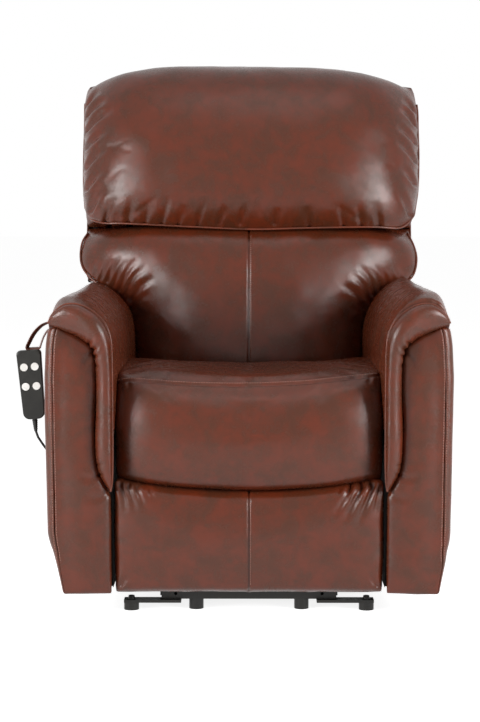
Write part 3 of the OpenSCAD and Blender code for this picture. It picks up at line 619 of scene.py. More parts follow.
foot_nu, foot_nv = 78, 32
foot_side = [(0.2685, -0.426, 0.048), (0.2715, -0.424, 0.12), (0.2715, -0.424, 0.19),
             (0.2705, -0.426, 0.275)]
foot_face = swollen(
    bottom=foot_edge(0.048, 0.048, -0.426, 0.2685), top=foot_edge(0.252, 0.275, -0.426, 0.2705),
    left=mirrored(foot_side, -1), right=foot_side, nu=foot_nu, nv=foot_nv,
    rise=(0, -0.0215, 0))
foot_face[..., 0] *= 1.011
board_side = [(0.268, -0.4, 0.047), (0.268, -0.4, 0.282)]
foot_back, _, _ = stretched(
    foot_edge(0.047, 0.047, -0.4, 0.268), foot_edge(0.262, 0.282, -0.4, 0.268),
    mirrored(board_side, -1), board_side, foot_nu, foot_nv)
footrest_cover = shell("footrest_cover", foot_face, foot_back, 4, chair, "footrest", hide,
                       "footrest_pad")
stuffed(footrest_cover, 0.6, 0.53, 0.21, reach=0.05, ease=0.08, pressure=3.0, cap=0.009)
uneven(footrest_cover, 0.0016, 0.08, 2)
press(footrest_cover, [
    ([(0.23, 0.268), (0.212, 0.234), (0.193, 0.193)], 0.007, 0.0085),
    ([(0.207, 0.266), (0.19, 0.236), (0.172, 0.206)], 0.006, 0.0065),
    ([(0.252, 0.268), (0.237, 0.23), (0.218, 0.188)], 0.007, 0.0085),
    ([(0.266, 0.262), (0.26, 0.236), (0.256, 0.205)], 0.0055, 0.005),
    ([(0.185, 0.26), (0.178, 0.243)], 0.005, 0.003),
    ([(-0.262, 0.268), (-0.254, 0.246), (-0.248, 0.212)], 0.006, 0.006),
    ([(-0.246, 0.266), (-0.236, 0.24), (-0.229, 0.212)], 0.006, 0.006),
    ([(-0.228, 0.264), (-0.218, 0.24), (-0.212, 0.22)], 0.0055, 0.005),
    ([(-0.2, 0.258), (-0.194, 0.24)], 0.005, 0.0035),
    ([(-0.262, 0.062), (-0.245, 0.085)], 0.006, 0.004),
    ([(0.262, 0.062), (0.245, 0.085)], 0.006, 0.004)], from_chair,
      [([(0, 0.052), (0, 0.27)], 0.0035, 0.0045)])
seam_line = [(0.0035, z) for z in np.linspace(0.066, 0.24, 40)]
stitches("footrest_stitches", [lay_on(footrest_cover, seam_line, chair)], "footrest")


# ---- Outer back ----
# The shell behind the cushions: thin foam over the wooden back frame in the same leather,
# with a welt round its edge and a cross seam where it widens above the arms.
hinge_at = np.array(next(j for j in frame["joints"] if j["name"] == "recline")["pos_m"])
hinge_at[0] = chair_mid.x
lean = math.radians(12)
lean_turn = np.array([[1, 0, 0], [0, math.cos(lean), math.sin(lean)],
                      [0, -math.sin(lean), math.cos(lean)]])


def back(points):
    """From the back's own upright frame, at its hinge, to the room."""
    return np.asarray(points, float) @ lean_turn.T + hinge_at


def from_back(points):
    return (np.asarray(points, float) - hinge_at) @ lean_turn


def at_depth(y, line):
    """A line given as seen from the front, at one depth."""
    return [(x, y, z) for x, z in line]


def tube(name, line, radius, body, slot, material, closed=False):
    """A round welt or thread along a line of places in the room."""
    line = np.array(line, float)
    n, sides = len(line), 8
    points = []
    normal = np.array((0.0, 0.3, 1.0))
    for k in range(n):
        ahead = line[(k + 1) % n if closed else min(k + 1, n - 1)] - line[
            k - 1 if closed or k else 0]
        ahead /= max(np.linalg.norm(ahead), 1e-12)
        normal = normal - ahead * (normal @ ahead)
        normal /= max(np.linalg.norm(normal), 1e-9)
        side = np.cross(ahead, normal)
        for s in range(sides):
            a = 2 * math.pi * s / sides
            points.append(line[k] + radius * (math.cos(a) * normal + math.sin(a) * side))
    if closed:
        faces = [tuple(k % len(points) for k in face) for face in walls(n + 1, sides)]
    else:
        faces = [*walls(n, sides), tuple(range(sides - 1, -1, -1)),
                 tuple((n - 1) * sides + s for s in range(sides))]
    return fit(mesh_object(name, points, faces, material), body, slot)


# Welts use the lighter piping hide, whose colour paints their highlight.
def piping(name, line, radius, body="carcass"):
    return tube(name, line, radius, body, "leather", piping_painted_highlight)


shell_side = at_depth(0.0, [
    (-0.266, -0.034), (-0.268, 0.12), (-0.268, 0.285), (-0.275, 0.3), (-0.3, 0.303),
    (-0.375, 0.303), (-0.388, 0.312), (-0.39, 0.34), (-0.39, 0.5), (-0.3905, 0.69),
    (-0.3895, 0.738), (-0.38, 0.764), (-0.358, 0.778), (-0.3, 0.785), (-0.15, 0.789),
    (0, 0.791)])
half_run = smooth_line(shell_side, 110)
around = np.vstack([half_run, mirrored(half_run[-2::-1], -1)])
centre = np.array((0.0, 0.0, 0.4))
inward = centre - around
inward /= np.linalg.norm(inward, axis=1, keepdims=True)
points = []
for inset, depth in (
        (0.004, -0.0235), (0.0, -0.0265), (0.0, -0.008), (0.0, 0.01), (0.0005, 0.024),
        (0.003, 0.033), (0.008, 0.0385), (0.014, 0.0405), (0.03, 0.043), (0.055, 0.045)):
    points.append(around + inward * inset)
    points[-1][:, 1] = depth
rim = points[-1]
for share in (0.72, 0.5, 0.3, 0.15, 0.05):
    points.append(centre + (rim - centre) * share)
    points[-1][:, 1] = 0.045 + 0.006 * (1 - share) ** 0.7
count = len(around)
faces = walls(len(points), count)
faces.append([(len(points) - 1) * count + k for k in range(count)])
outer = mesh_object("outer_back_cover", back(np.vstack(points)), faces, lining_hide)
fit(outer, "backrest", "leather", "outer_back")
uneven(outer, 0.001, 0.14, 3)
rear_welt = around[2:-2] + inward[2:-2] * 0.0065
rear_welt[:, 1] = 0.0378
piping("outer_back_welt", back(rear_welt), 0.0024, "backrest")
seam_half, seam_steps = 0.372, 90
seam_x = np.linspace(-seam_half, seam_half, seam_steps)
seam_y = 0.0418 + 0.0062 * (1 - (np.abs(seam_x) / seam_half) ** 3)
seam_z = np.full(seam_steps, 0.318)
piping("outer_back_seam", back(np.column_stack([seam_x, seam_y, seam_z])), 0.0022, "backrest")
stitches("outer_back_stitches",
         [back(np.column_stack([seam_x, seam_y + 0.0006, seam_z + 0.007]))], "backrest")

# ---- Lumbar cushion ----
# A T-shaped cushion on the lower back. It is narrow between the arms and spreads into two
# wings over them, with one seam up its middle and piping along the wings' lower edges.
lumbar_nu, lumbar_nv, lumbar_rear = 92, 62, -0.023
wing = [(0.273, -0.08, 0.03), (0.2735, -0.085, 0.118), (0.278, -0.095, 0.186),
        (0.303, -0.1, 0.228), (0.338, -0.098, 0.262), (0.368, -0.09, 0.285),
        (0.39, -0.078, 0.31), (0.398, -0.07, 0.347), (0.392, -0.065, 0.38),
        (0.378, -0.055, 0.414)]
wing_left = [(-0.273, -0.08, 0.03), (-0.2738, -0.085, 0.117), (-0.283, -0.095, 0.196),
             (-0.307, -0.1, 0.24), (-0.343, -0.098, 0.273), (-0.375, -0.09, 0.3),
             (-0.394, -0.078, 0.327), (-0.4, -0.07, 0.357), (-0.396, -0.065, 0.39),
             (-0.384, -0.055, 0.414)]
lumbar_face = panel(
    bottom=[(-0.273, -0.08, 0.03), (-0.2, -0.13, 0.03), (-0.1, -0.155, 0.03),
            (0, -0.165, 0.03), (0.1, -0.155, 0.03), (0.2, -0.13, 0.03), (0.273, -0.08, 0.03)],
    top=[(-0.384, -0.055, 0.414), (-0.3, -0.09, 0.42), (-0.15, -0.105, 0.418),
         (0, -0.11, 0.413), (0.15, -0.105, 0.415), (0.3, -0.09, 0.417), (0.378, -0.055, 0.414)],
    left=wing_left, right=wing,
    middle=[(0, -0.165, 0.03), (0, -0.192, 0.07), (0, -0.2, 0.14), (0, -0.2, 0.22),
            (0, -0.198, 0.3), (0, -0.192, 0.36), (0, -0.175, 0.395), (0, -0.145, 0.41),
            (0, -0.11, 0.413)],
    nu=lumbar_nu, nv=lumbar_nv, flat=3.9, blunt=1.65)
lumbar_side = at_depth(lumbar_rear, [
    (0.25, 0.05), (0.255, 0.19), (0.27, 0.28), (0.34, 0.312), (0.385, 0.34), (0.387, 0.432)])
lumbar_back = panel(
    bottom=at_depth(lumbar_rear, [(-0.25, 0.05), (0, 0.05), (0.25, 0.05)]),
    top=at_depth(lumbar_rear, [(-0.387, 0.432), (0, 0.428), (0.387, 0.432)]),
    left=mirrored(lumbar_side, -1), right=lumbar_side,
    middle=at_depth(lumbar_rear, [(0, 0.05), (0, 0.428)]), nu=lumbar_nu, nv=lumbar_nv)
lumbar = shell("lumbar_cover", lumbar_face, lumbar_back, 6, back, "backrest", hide,
               "lumbar_cushion")
stuffed(lumbar, 0.7, 0.66, 0.4, reach=0.07, ease=0.09, pressure=4.0, cap=0.016)
uneven(lumbar, 0.0024, 0.1, 4)
root_folds = []
for s, (x, z) in ((-1, (-0.277, 0.222)), (1, (0.275, 0.205))):
    for dx, dz, reach_x, reach_z, w, d in (
            (0.002, -0.004, -0.06, 0.036, 0.0065, 0.005),
            (0.000, 0.016, -0.075, 0.058, 0.0075, 0.0075),
            (0.014, 0.03, -0.066, 0.072, 0.006, 0.0055),
            (0.027, 0.042, -0.06, 0.08, 0.007, 0.007),
            (0.041, 0.053, -0.05, 0.066, 0.0055, 0.005),
            (0.056, 0.064, -0.042, 0.062, 0.0065, 0.006),
            (0.072, 0.071, -0.032, 0.05, 0.0055, 0.0045),
            (0.088, 0.078, -0.024, 0.04, 0.006, 0.0045),
            (0.000, -0.03, -0.048, 0.018, 0.0065, 0.0045),
            (-0.002, -0.062, -0.04, 0.006, 0.006, 0.004),
            (-0.004, -0.098, -0.034, -0.004, 0.006, 0.0035)):
        root_folds.append(([(x + s * dx, z + dz), (x + s * (dx + reach_x * 0.34),
                            z + dz + reach_z * 0.52), (x + s * (dx + reach_x * 0.82),
                            z + dz + reach_z * 0.84)], w, d * 0.72))
press(lumbar, root_folds, from_back, [([(0, 0.02), (0, 0.2), (0, 0.41)], 0.004, 0.006)])
seam_line = [(0.0045, z) for z in np.linspace(0.08, 0.385, 70)]
stitches("lumbar_stitches", [lay_on(lumbar, seam_line, back)], "backrest")
for name, edge in (("lumbar_piping_left", wing_left), ("lumbar_piping_right", wing)):
    line = smooth_line(edge, 90)[26:]
    line[:, 0] *= 1.002
    piping(name, back(line), 0.0024, "backrest")

# ---- Head pillow ----
# The biggest cushion, stuffed with fibre and sewn to the top of the back so that it hangs
# over the lumbar cushion. A piped seam runs under it and up both sides.
pillow_nu, pillow_nv, pillow_rear = 110, 80, -0.0215
pillow_low = [(-0.389, -0.085, 0.468), (-0.374, -0.115, 0.437), (-0.342, -0.145, 0.42),
              (-0.2955, -0.165, 0.415), (-0.2, -0.178, 0.408), (-0.125, -0.183, 0.403),
              (0.0115, -0.186, 0.397), (0.12, -0.184, 0.4), (0.239, -0.178, 0.4035),
              (0.3, -0.168, 0.4055), (0.356, -0.145, 0.409), (0.387, -0.11, 0.441),
              (0.395, -0.085, 0.468)]
pillow_left = [(-0.389, -0.085, 0.468), (-0.394, -0.075, 0.52), (-0.395, -0.07, 0.6),
               (-0.394, -0.068, 0.66), (-0.3945, -0.06, 0.73), (-0.393, -0.05, 0.76),
               (-0.386, -0.045, 0.776)]
pillow_right = [(0.395, -0.085, 0.468), (0.403, -0.075, 0.52), (0.406, -0.07, 0.6),
                (0.405, -0.07, 0.66), (0.405, -0.064, 0.71), (0.4005, -0.054, 0.75),
                (0.394, -0.045, 0.773)]
pillow_face = panel(
    bottom=pillow_low,
    top=[(-0.386, -0.045, 0.776), (-0.352, -0.034, 0.786), (-0.277, -0.03, 0.796),
         (-0.162, -0.03, 0.801), (0, -0.03, 0.803), (0.124, -0.03, 0.799),
         (0.244, -0.03, 0.792), (0.317, -0.032, 0.786), (0.366, -0.036, 0.779),
         (0.394, -0.045, 0.773)],
    left=pillow_left, right=pillow_right,
    middle=[(0, -0.186, 0.397), (0, -0.218, 0.43), (0, -0.232, 0.48), (0, -0.236, 0.55),
            (0, -0.232, 0.62), (0, -0.22, 0.68), (0, -0.196, 0.738), (0, -0.16, 0.782),
            (0, -0.118, 0.806), (0, -0.07, 0.808), (0, -0.03, 0.798)],
    nu=pillow_nu, nv=pillow_nv, flat=4.4, blunt=1.6)
pillow_back = panel(
    bottom=at_depth(pillow_rear, [(-0.386, 0.432), (0, 0.426), (0.386, 0.432)]),
    top=at_depth(pillow_rear, [(-0.372, 0.765), (-0.33, 0.775), (0, 0.784), (0.33, 0.774),
                               (0.374, 0.763)]),
    left=at_depth(pillow_rear, [(-0.386, 0.432), (-0.3895, 0.58), (-0.3885, 0.735),
                                (-0.372, 0.765)]),
    right=at_depth(pillow_rear, [(0.386, 0.432), (0.3895, 0.58), (0.3885, 0.733),
                                 (0.374, 0.763)]),
    middle=at_depth(pillow_rear, [(0, 0.426), (0, 0.784)]), nu=pillow_nu, nv=pillow_nv)
pillow = shell("head_pillow_cover", pillow_face, pillow_back, 9, back, "backrest", hide,
               "head_pillow")
stuffed(pillow, 0.8, 0.77, 0.57, reach=0.07, ease=0.09, pressure=4.0, cap=0.018)
uneven(pillow, 0.0026, 0.13, 5)
side_folds = [([(x, z), (x + 0.45 * run, z + 0.62 * up), (x + run, z + up)], w, d)
              for x, z, run, up, w, d in (
                  (-0.384, 0.722, 0.03, 0.026, 0.008, 0.0075),
                  (-0.384, 0.69, 0.048, 0.024, 0.0085, 0.009),
                  (-0.384, 0.65, 0.066, 0.036, 0.0085, 0.0095),
                  (-0.384, 0.606, 0.06, 0.028, 0.009, 0.008),
                  (-0.384, 0.556, 0.052, 0.036, 0.009, 0.009),
                  (-0.382, 0.505, 0.048, 0.036, 0.0095, 0.008),
                  (-0.372, 0.452, 0.04, 0.044, 0.01, 0.007),
                  (-0.336, 0.423, 0.026, 0.05, 0.009, 0.006),
                  (0.393, 0.704, -0.03, 0.02, 0.0085, 0.0065),
                  (0.394, 0.668, -0.036, 0.03, 0.008, 0.0085),
                  (0.394, 0.622, -0.048, 0.024, 0.0085, 0.0085),
                  (0.394, 0.575, -0.05, 0.034, 0.0085, 0.008),
                  (0.391, 0.52, -0.04, 0.03, 0.009, 0.007),
                  (0.378, 0.446, -0.036, 0.044, 0.0095, 0.0065))]
low_folds = [([(x, 0.408 - abs(x) * 0.01), (x + lean_x * 0.5, 0.408 + tall * 0.5),
               (x + lean_x, 0.408 + tall)], 0.0085, 0.005)
             for x, lean_x, tall in ((-0.285, 0.016, 0.06), (-0.245, 0.014, 0.044),
                                     (-0.205, 0.02, 0.06), (-0.165, 0.014, 0.042),
                                     (-0.12, 0.018, 0.056), (-0.07, 0.014, 0.04),
                                     (-0.02, 0.012, 0.046), (0.06, 0.006, 0.034),
                                     (0.14, -0.006, 0.036), (0.22, -0.008, 0.04),
                                     (0.262, -0.012, 0.046), (0.305, -0.014, 0.05))]
press(pillow, side_folds + low_folds, from_back)
around = np.vstack([smooth_line(pillow_left, 50)[::-1][8:], smooth_line(pillow_low, 140)[1:],
                    smooth_line(pillow_right, 50)[1:-8]])
piping("pillow_piping", back(around), 0.0025, "backrest")


# ---- Arms ----
# Each arm is a plywood box dressed in separate leather pieces: a domed top pad, an outer
# side that wraps round the front corner, a front panel, and a stuffed roll that follows the
# pad's front edge and runs down the inner edge to a point. A welt finishes the roll.
both_sides = ((-1, "left"), (1, "right"))
crease_y, side_front_y, rear_y = -0.4405, -0.4485, 0.3035
pad_mid, inner_x, board_y = 0.338, 0.2762, -0.4262


def one_side(grid, side):
    """A grid drawn for the arm at positive X, turned for the arm at the given side."""
    return grid if side > 0 else mirrored(grid, side)[:, ::-1]


def pushed(grid, y):
    """The same grid pushed flat at one depth."""
    return grid_at(grid[..., 0], y, grid[..., 2])


def arm_cover(name, side, front, core, material, *replaced, rings=2):
    return shell(name, one_side(front, side), one_side(core, side), rings, chair, "carcass",
                 material, *replaced)


dome = [(0.398, 0.588), (0.4005, 0.6), (0.3985, 0.616), (0.3925, 0.632), (0.383, 0.6445),
        (0.368, 0.651), (0.343, 0.6475), (0.32, 0.635), (0.299, 0.614), (0.279, 0.591),
        (0.2727, 0.575), (0.2718, 0.55), (0.2715, 0.47), (0.2715, 0.38)]
welt_line = [(0.403, 0.588), (0.4005, 0.602), (0.3935, 0.6166), (0.3845, 0.6275),
             (0.3733, 0.634), (0.3517, 0.638), (0.3274, 0.6315), (0.3032, 0.615),
             (0.287, 0.595), (0.2785, 0.572), (0.2755, 0.545), (0.2745, 0.49),
             (0.2745, 0.42), (0.2745, 0.38)]
roll_stations = [  # crease across, up; welt across, up
    (0.402, 0.59, 0.4025, 0.5985), (0.394, 0.5905, 0.3935, 0.6166),
    (0.3842, 0.5878, 0.3733, 0.634), (0.37, 0.5822, 0.3517, 0.638),
    (0.3571, 0.577, 0.3274, 0.6315), (0.343, 0.5705, 0.3032, 0.615),
    (0.325, 0.558, 0.287, 0.595), (0.3139, 0.5431, 0.2785, 0.572),
    (0.309, 0.52, 0.2755, 0.545), (0.3075, 0.48, 0.2745, 0.49),
    (0.3085, 0.42, 0.2745, 0.42), (0.31, 0.35, 0.2745, 0.35),
    (0.3058, 0.304, 0.275, 0.304), (0.294, 0.276, 0.2765, 0.276),
    (0.2825, 0.2585, 0.279, 0.2585)]
swell = (0.005, 0.013, 0.02, 0.026, 0.031, 0.035, 0.036, 0.033, 0.029, 0.025, 0.023, 0.022,
         0.018, 0.012, 0.005)
crease = [(c[0], -0.44, c[1]) for c in roll_stations]
welt = [(c[2], -0.452, c[3]) for c in roll_stations]


def side_reach(z, side):
    """How far out the leather of an arm's outer side is at a height."""
    heights = (0.048, 0.075, 0.105, 0.134, 0.15, 0.17, 0.33, 0.435, 0.489, 0.554, 0.5837,
               0.592)
    out = (0.3785, 0.384, 0.3905, 0.3985, 0.405, 0.41, 0.4115, 0.4128, 0.413, 0.41,
           0.4055, 0.4015)
    fuller = np.interp(z, (0.048, 0.11, 0.145, 0.17), (0.009, 0.008, 0.003, 0.0))
    return np.interp(z, heights, out) + (fuller if side > 0 else 0)


def wrap(z):
    """How far the outer side wraps round onto the front of an arm at a height."""
    return np.interp(z, (0.048, 0.105, 0.165, 0.592), (0.004, 0.006, 0.017, 0.017))


for side, word in both_sides:
    # The top pad: foam under leather, pulled down to the welt in front
    edge_in, front_in = (smooth_line([(x, 0, z) for x, z in line][::-1], 57)
                         for line in (dome, welt_line))
    depth = np.r_[np.linspace(-0.45, -0.38, 13)[:-1], np.linspace(-0.38, 0.299, 88)]
    rise = np.clip((depth + 0.45) / 0.062, 0, 1)
    rise = np.sin(rise * math.pi / 2) ** 1.1
    fall = 1 - np.sqrt(np.clip(1 - (np.clip(depth - 0.269, 0, 1) / 0.03) ** 2, 0, 1))
    pad_face = (front_in[None] * (1 - rise)[:, None, None] + edge_in[None] * rise[:, None, None])
    pad_face[..., 1] = depth[:, None]
    high = np.clip((pad_face[..., 2] - 0.56) / 0.09, 0, 1)
    pad_face[..., 2] -= 0.016 * high * fall[:, None]
    if side > 0:
        pad_face[..., 2] += 0.01 * np.clip((pad_face[..., 2] - 0.575) / 0.05, 0, 1)
    x, y, z = np.moveaxis(pad_face, -1, 0)
    on_top = z > 0.572
    pad_core = grid_at(np.where(on_top, pad_mid + (x - pad_mid) * 0.84,
                                np.maximum(inner_x - 0.001, x + 0.0025)),
                       np.clip(y, -0.438, 0.294), np.where(on_top, 0.577, z))
    pad = arm_cover("arm_pad_cover_" + word, side, pad_face, pad_core, hide,
                    "arm_pad_" + word)
    stuffed(pad, 0.7, 0.4, 0.75, reach=0.045, ease=0.06, pressure=2.5, cap=0.006)
    uneven(pad, 0.0016, 0.09, 6 + side)

    # The outer side, with the front corner
    heights = np.linspace(0.047, 0.59, 68)
    run = np.r_[np.linspace(0, 1, 9)[:-1], 1 + np.linspace(0, 1, 92)]
    out = side_reach(heights, side)[:, None]
    turn = np.clip(run, 0, 1)[None] * math.pi / 2
    depth = np.where(run[None] < 1, -0.448 + 0.02 * (1 - np.cos(turn)),
                     -0.428 + (run[None] - 1) * 0.727)
    rear = np.clip((depth - 0.281) / 0.018, 0, 1)
    side_face = grid_at(out - wrap(heights)[:, None] * (1 - np.sin(turn))
                        - 0.012 * (1 - np.sqrt(1 - rear ** 2)), depth, heights[:, None])
    side_core = grid_at(out - 0.019, np.clip(depth, -0.43, 0.297), heights[:, None])
    side_cover = arm_cover("arm_side_cover_" + word, side, side_face, side_core, lining_hide,
                           "arm_side_panel_" + word)
    refine(side_cover)
    uneven(side_cover, 0.0011, 0.13, 9 + side)

    # The front panel, stuffed between the roll and the side
    front_low = [(0.2795, -0.439, 0.047), (0.3, -0.443, 0.047), (0.33, -0.447, 0.047),
                 (side_reach(0.047, side) - 0.004, side_front_y, 0.047)]
    front_in_edge = [(0.2795, -0.439, 0.047), (0.28, -0.439, 0.15), (0.28, -0.4395, 0.22)]
    front_in_edge += at_depth(crease_y, [
        (0.281, 0.25), (0.294, 0.276), (0.3058, 0.304), (0.3095, 0.34), (0.31, 0.4),
        (0.3072, 0.462), (0.309, 0.516), (0.3139, 0.5431)])
    front_top = at_depth(crease_y, [(0.3139, 0.5431), (0.325, 0.558), (0.343, 0.5705),
                                   (0.3571, 0.577)])
    front_top += [(0.37, -0.443, 0.5822), (0.385, -0.448, 0.59)]
    front_out_edge = [(side_reach(z, side) - wrap(z), side_front_y, z) for z in
                      (0.047, 0.075, 0.105, 0.134, 0.15, 0.17, 0.2, 0.3, 0.4, 0.5, 0.56,
                       0.59)]
    front_face, _, _ = stretched(front_low, front_top, front_in_edge, front_out_edge, 22, 84)
    u, v = np.linspace(-1, 1, 23)[None], np.linspace(-1, 1, 85)[:, None]
    full = np.where(u < 0, np.sqrt(1 - np.abs(u) ** 3), 1 - u * u * (3 - 2 * u))
    front_face[..., 1] -= 0.01 * full * np.sqrt(1 - np.abs(v) ** 8)
    front_core = pushed(front_face, board_y)
    front_cover = arm_cover("arm_front_cover_" + word, side, front_face, front_core, hide,
                            "arm_front_panel_" + word)
    stuffed(front_cover, 0.5, 0.1, 0.53, reach=0.03, ease=0.04, pressure=2.0, cap=0.004)
    uneven(front_cover, 0.0012, 0.07, 12 + side)

    # The roll: a tapering tube of leather with a stuffed core, and its welt
    count = 110
    low_line, high_line = smooth_line(crease[::-1], count), smooth_line(welt[::-1], count)
    arc = np.linspace(0, math.pi, 11)
    share = (0.5 - 0.5 * np.cos(arc))[:, None, None]
    fullness = smooth_line([((c[0] + c[2]) / 2, f, (c[1] + c[3]) / 2) for c, f in
                            zip(roll_stations, swell)][::-1], count)[None, :, 1]
    roll_face = low_line[None] * (1 - share) + high_line[None] * share
    roll_face[..., 1] -= fullness * np.sin(arc)[:, None] ** 0.8
    roll_core = pushed(roll_face, -0.4365)
    roll = arm_cover("arm_roll_cover_" + word, side, roll_face, roll_core, hide,
                     "arm_roll_" + word)
    refine(roll)
    uneven(roll, 0.0011, 0.05, 15 + side)
    welt_run = smooth_line(welt, 130)
    welt_run[:, 1] -= 0.0012
    piping("arm_welt_" + word, chair(mirrored(welt_run, side)), 0.0022)

    # Two rows of stitches down the outer edge of the front panel
    rows = [lay_on(cover, [(side * (side_reach(z, side) - wrap(z) + inset), z)
                           for z in np.linspace(0.115, 0.572, 160)], chair)
            for cover, inset in ((front_cover, -0.0036), (side_cover, 0.0034))]
    stitches("arm_stitches_" + word, rows, "carcass")

    # Wrinkles where the roll, the pad and the front panel are pulled round their corners
    press(roll, [
        ([(side * x, z), (side * (x + dx), z + dz)], w, d)
        for x, z, dx, dz, w, d in (
            (0.322, 0.556, -0.014, 0.018, 0.0045, 0.003),
            (0.3135, 0.545, -0.022, 0.014, 0.005, 0.0042),
            (0.311, 0.532, -0.018, 0.004, 0.004, 0.003),
            (0.3095, 0.515, -0.012, -0.006, 0.0045, 0.0018),
            (0.3065, 0.312, -0.018, 0.004, 0.004, 0.0014),
            (0.301, 0.292, -0.012, 0.004, 0.004, 0.0014))], from_chair)
    co = places(pad)
    x, y, z = from_chair(co).T
    fade = np.clip(1 - (y + 0.45) / 0.05, 0, 1) * np.clip((z - 0.5) / 0.05, 0, 1)
    ripple = np.sin(x * 2 * math.pi / 0.021 + 1.3 * np.sin(x * 97 + side))
    put(pad, co + places(pad, "normal") * (0.0004 * ripple * fade)[:, None])
    press(front_cover, [
        ([(side * x, z) for x, z in line], w, d) for line, w, d in (
            (((0.3, 0.292), (0.318, 0.285), (0.345, 0.29)), 0.007, 0.003),
            (((0.282, 0.255), (0.305, 0.245), (0.33, 0.246)), 0.008, 0.0025),
            (((0.31, 0.54), (0.328, 0.52), (0.338, 0.485)), 0.008, 0.0025))], from_chair)

# ---- Rear and inside of the arms ----
# A leather cover closes the rear of each plywood box, with a small hem stitched down its
# sides and along its foot, and a sheet of black lining cloth closes the inside. Its
# near-black colour is also painted shade in the gaps beside the seat and the footrest.
for side, word in both_sides:
    inner, inner_core = (grid_at(x, np.linspace(-0.428, 0.298, 40)[None, ::-1],
                                 np.linspace(0.058, 0.572, 30)[:, None])
                         for x in (inner_x, inner_x + 0.0012))
    inside = arm_cover("arm_inside_cover_" + word, side, inner, inner_core, lining_cloth_painted_gap_shade,
                       rings=1)
    uneven(inside, 0.0003, 0.09, 24 + side)
    rear_face = swollen(
        bottom=[(0.2735, rear_y, 0.05), (0.375, rear_y, 0.05)],
        top=[(0.278, rear_y, 0.572), (0.402, rear_y, 0.578)],
        left=[(0.2735, rear_y, 0.05), (0.2735, rear_y, 0.3), (0.278, rear_y, 0.572)],
        right=[(side_reach(z, side) - 0.004, rear_y, z) for z in
               (0.05, 0.075, 0.105, 0.134, 0.165, 0.3, 0.45, 0.578)],
        nu=18, nv=60, rise=(0, 0.0035, 0))
    rear_cover = arm_cover("arm_rear_cover_" + word, side, pushed(rear_face, rear_y - 0.003),
                           rear_face, lining_hide, rings=1)
    uneven(rear_cover, 0.0005, 0.09, 20 + side)
    hem = [(0.2765, 0.305, z) for z in np.linspace(0.566, 0.058, 40)]
    hem += [(x, 0.305, 0.058) for x in np.linspace(0.282, 0.37, 12)]
    hem += [(side_reach(z, side) - 0.009, 0.305, z) for z in np.linspace(0.064, 0.57, 40)]
    stitches("arm_rear_stitches_" + word, [chair(mirrored(hem, side))], "carcass", pitch=0.007,
             length=0.005)

# ---- Side pockets ----
# An open leather pouch sewn to the outside of each arm, with piping and a hem round its
# mouth, and gathered a little into its lower corners.
for side, word in both_sides:
    low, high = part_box("side_pocket_" + word)
    y0, y1 = low.y - chair_mid.y, high.y - chair_mid.y
    across, up = np.linspace(0, 1, 57)[None], np.linspace(0, 1, 27)[:, None]
    bulge = (1 - np.abs(2 * across - 1) ** 6) ** 0.5 * (1 - (1 - up) ** 8) ** 0.5
    tuck = 0.022 * (1 - up) ** 2.2 * np.sign(across - 0.5) * np.abs(2 * across - 1) ** 3
    ripple = (np.sin(across * 46) * 0.0012 * np.clip(1 - up / 0.35, 0, 1)
              + np.sin(across * 9 + 1) * 0.001 * up)
    pocket_face = grid_at(
        0.4105 + 0.0155 * bulge + ripple * bulge,
        y0 + 0.002 + (y1 - y0 - 0.004) * across - tuck,
        0.118 + 0.171 * up + 0.004 * np.abs(2 * across - 1) ** 2 * up)
    pocket_core = pocket_face.copy()
    pocket_core[..., 0] = np.maximum(0.4098, pocket_face[..., 0] - 0.003)
    pocket = arm_cover("side_pocket_cover_" + word, side, pocket_face, pocket_core,
                       lining_hide, "side_pocket_" + word, rings=1)
    refine(pocket)
    rim = pocket_face[-1].copy()
    rim[:, 0] -= 0.0012
    piping("pocket_rim_" + word, chair(mirrored(rim, side)), 0.0026)
    hem = pocket_face[-4].copy()
    hem[:, 0] += 0.0004
    stitches("pocket_stitches_" + word, [chair(mirrored(hem[2:-2], side))], "carcass")

# ---- Handset ----
# A moulded plastic body in two halves that meet at a parting line, wider at its top, with
# four wells for the buttons. It hangs beside the arm, leaning a little.
black_plastic = moulded("moulded_plastic", (0.013, 0.0125, 0.011), (0.022, 0.021, 0.018),
                        0.33)
button_plastic = moulded("button_plastic", (0.78, 0.77, 0.74), (0.66, 0.64, 0.6), 0.3,
                         depth=0.00005)
powder_coat = moulded("powder_coat", (0.012, 0.0112, 0.0095), (0.022, 0.02, 0.017), 0.38,
                      700.0, 0.0003)
tube_steel = moulded("turned_steel", (0.55, 0.55, 0.56), (0.46, 0.45, 0.44), 0.24, 2600.0,
                     0.00003, metallic=1.0)

hand_mid = np.array((-0.4525, -0.31, 0.462))
hand_lean = math.radians(4.6)
half_wide, half_tall, half_deep = 0.026, 0.0725, 0.0125


def in_hand(points):
    p = np.asarray(points, float)
    x = p[:, 0] * math.cos(hand_lean) - p[:, 2] * math.sin(hand_lean)
    z = p[:, 0] * math.sin(hand_lean) + p[:, 2] * math.cos(hand_lean)
    return chair(np.column_stack([x, p[:, 1], z]) + hand_mid)


def rounded(cx, cz, r, start, end, steps=7):
    """Places along an arc of the given radius, between two angles in degrees."""
    return [(cx + r * math.cos(math.radians(a)), cz + r * math.sin(math.radians(a)))
            for a in np.linspace(start, end, steps)]


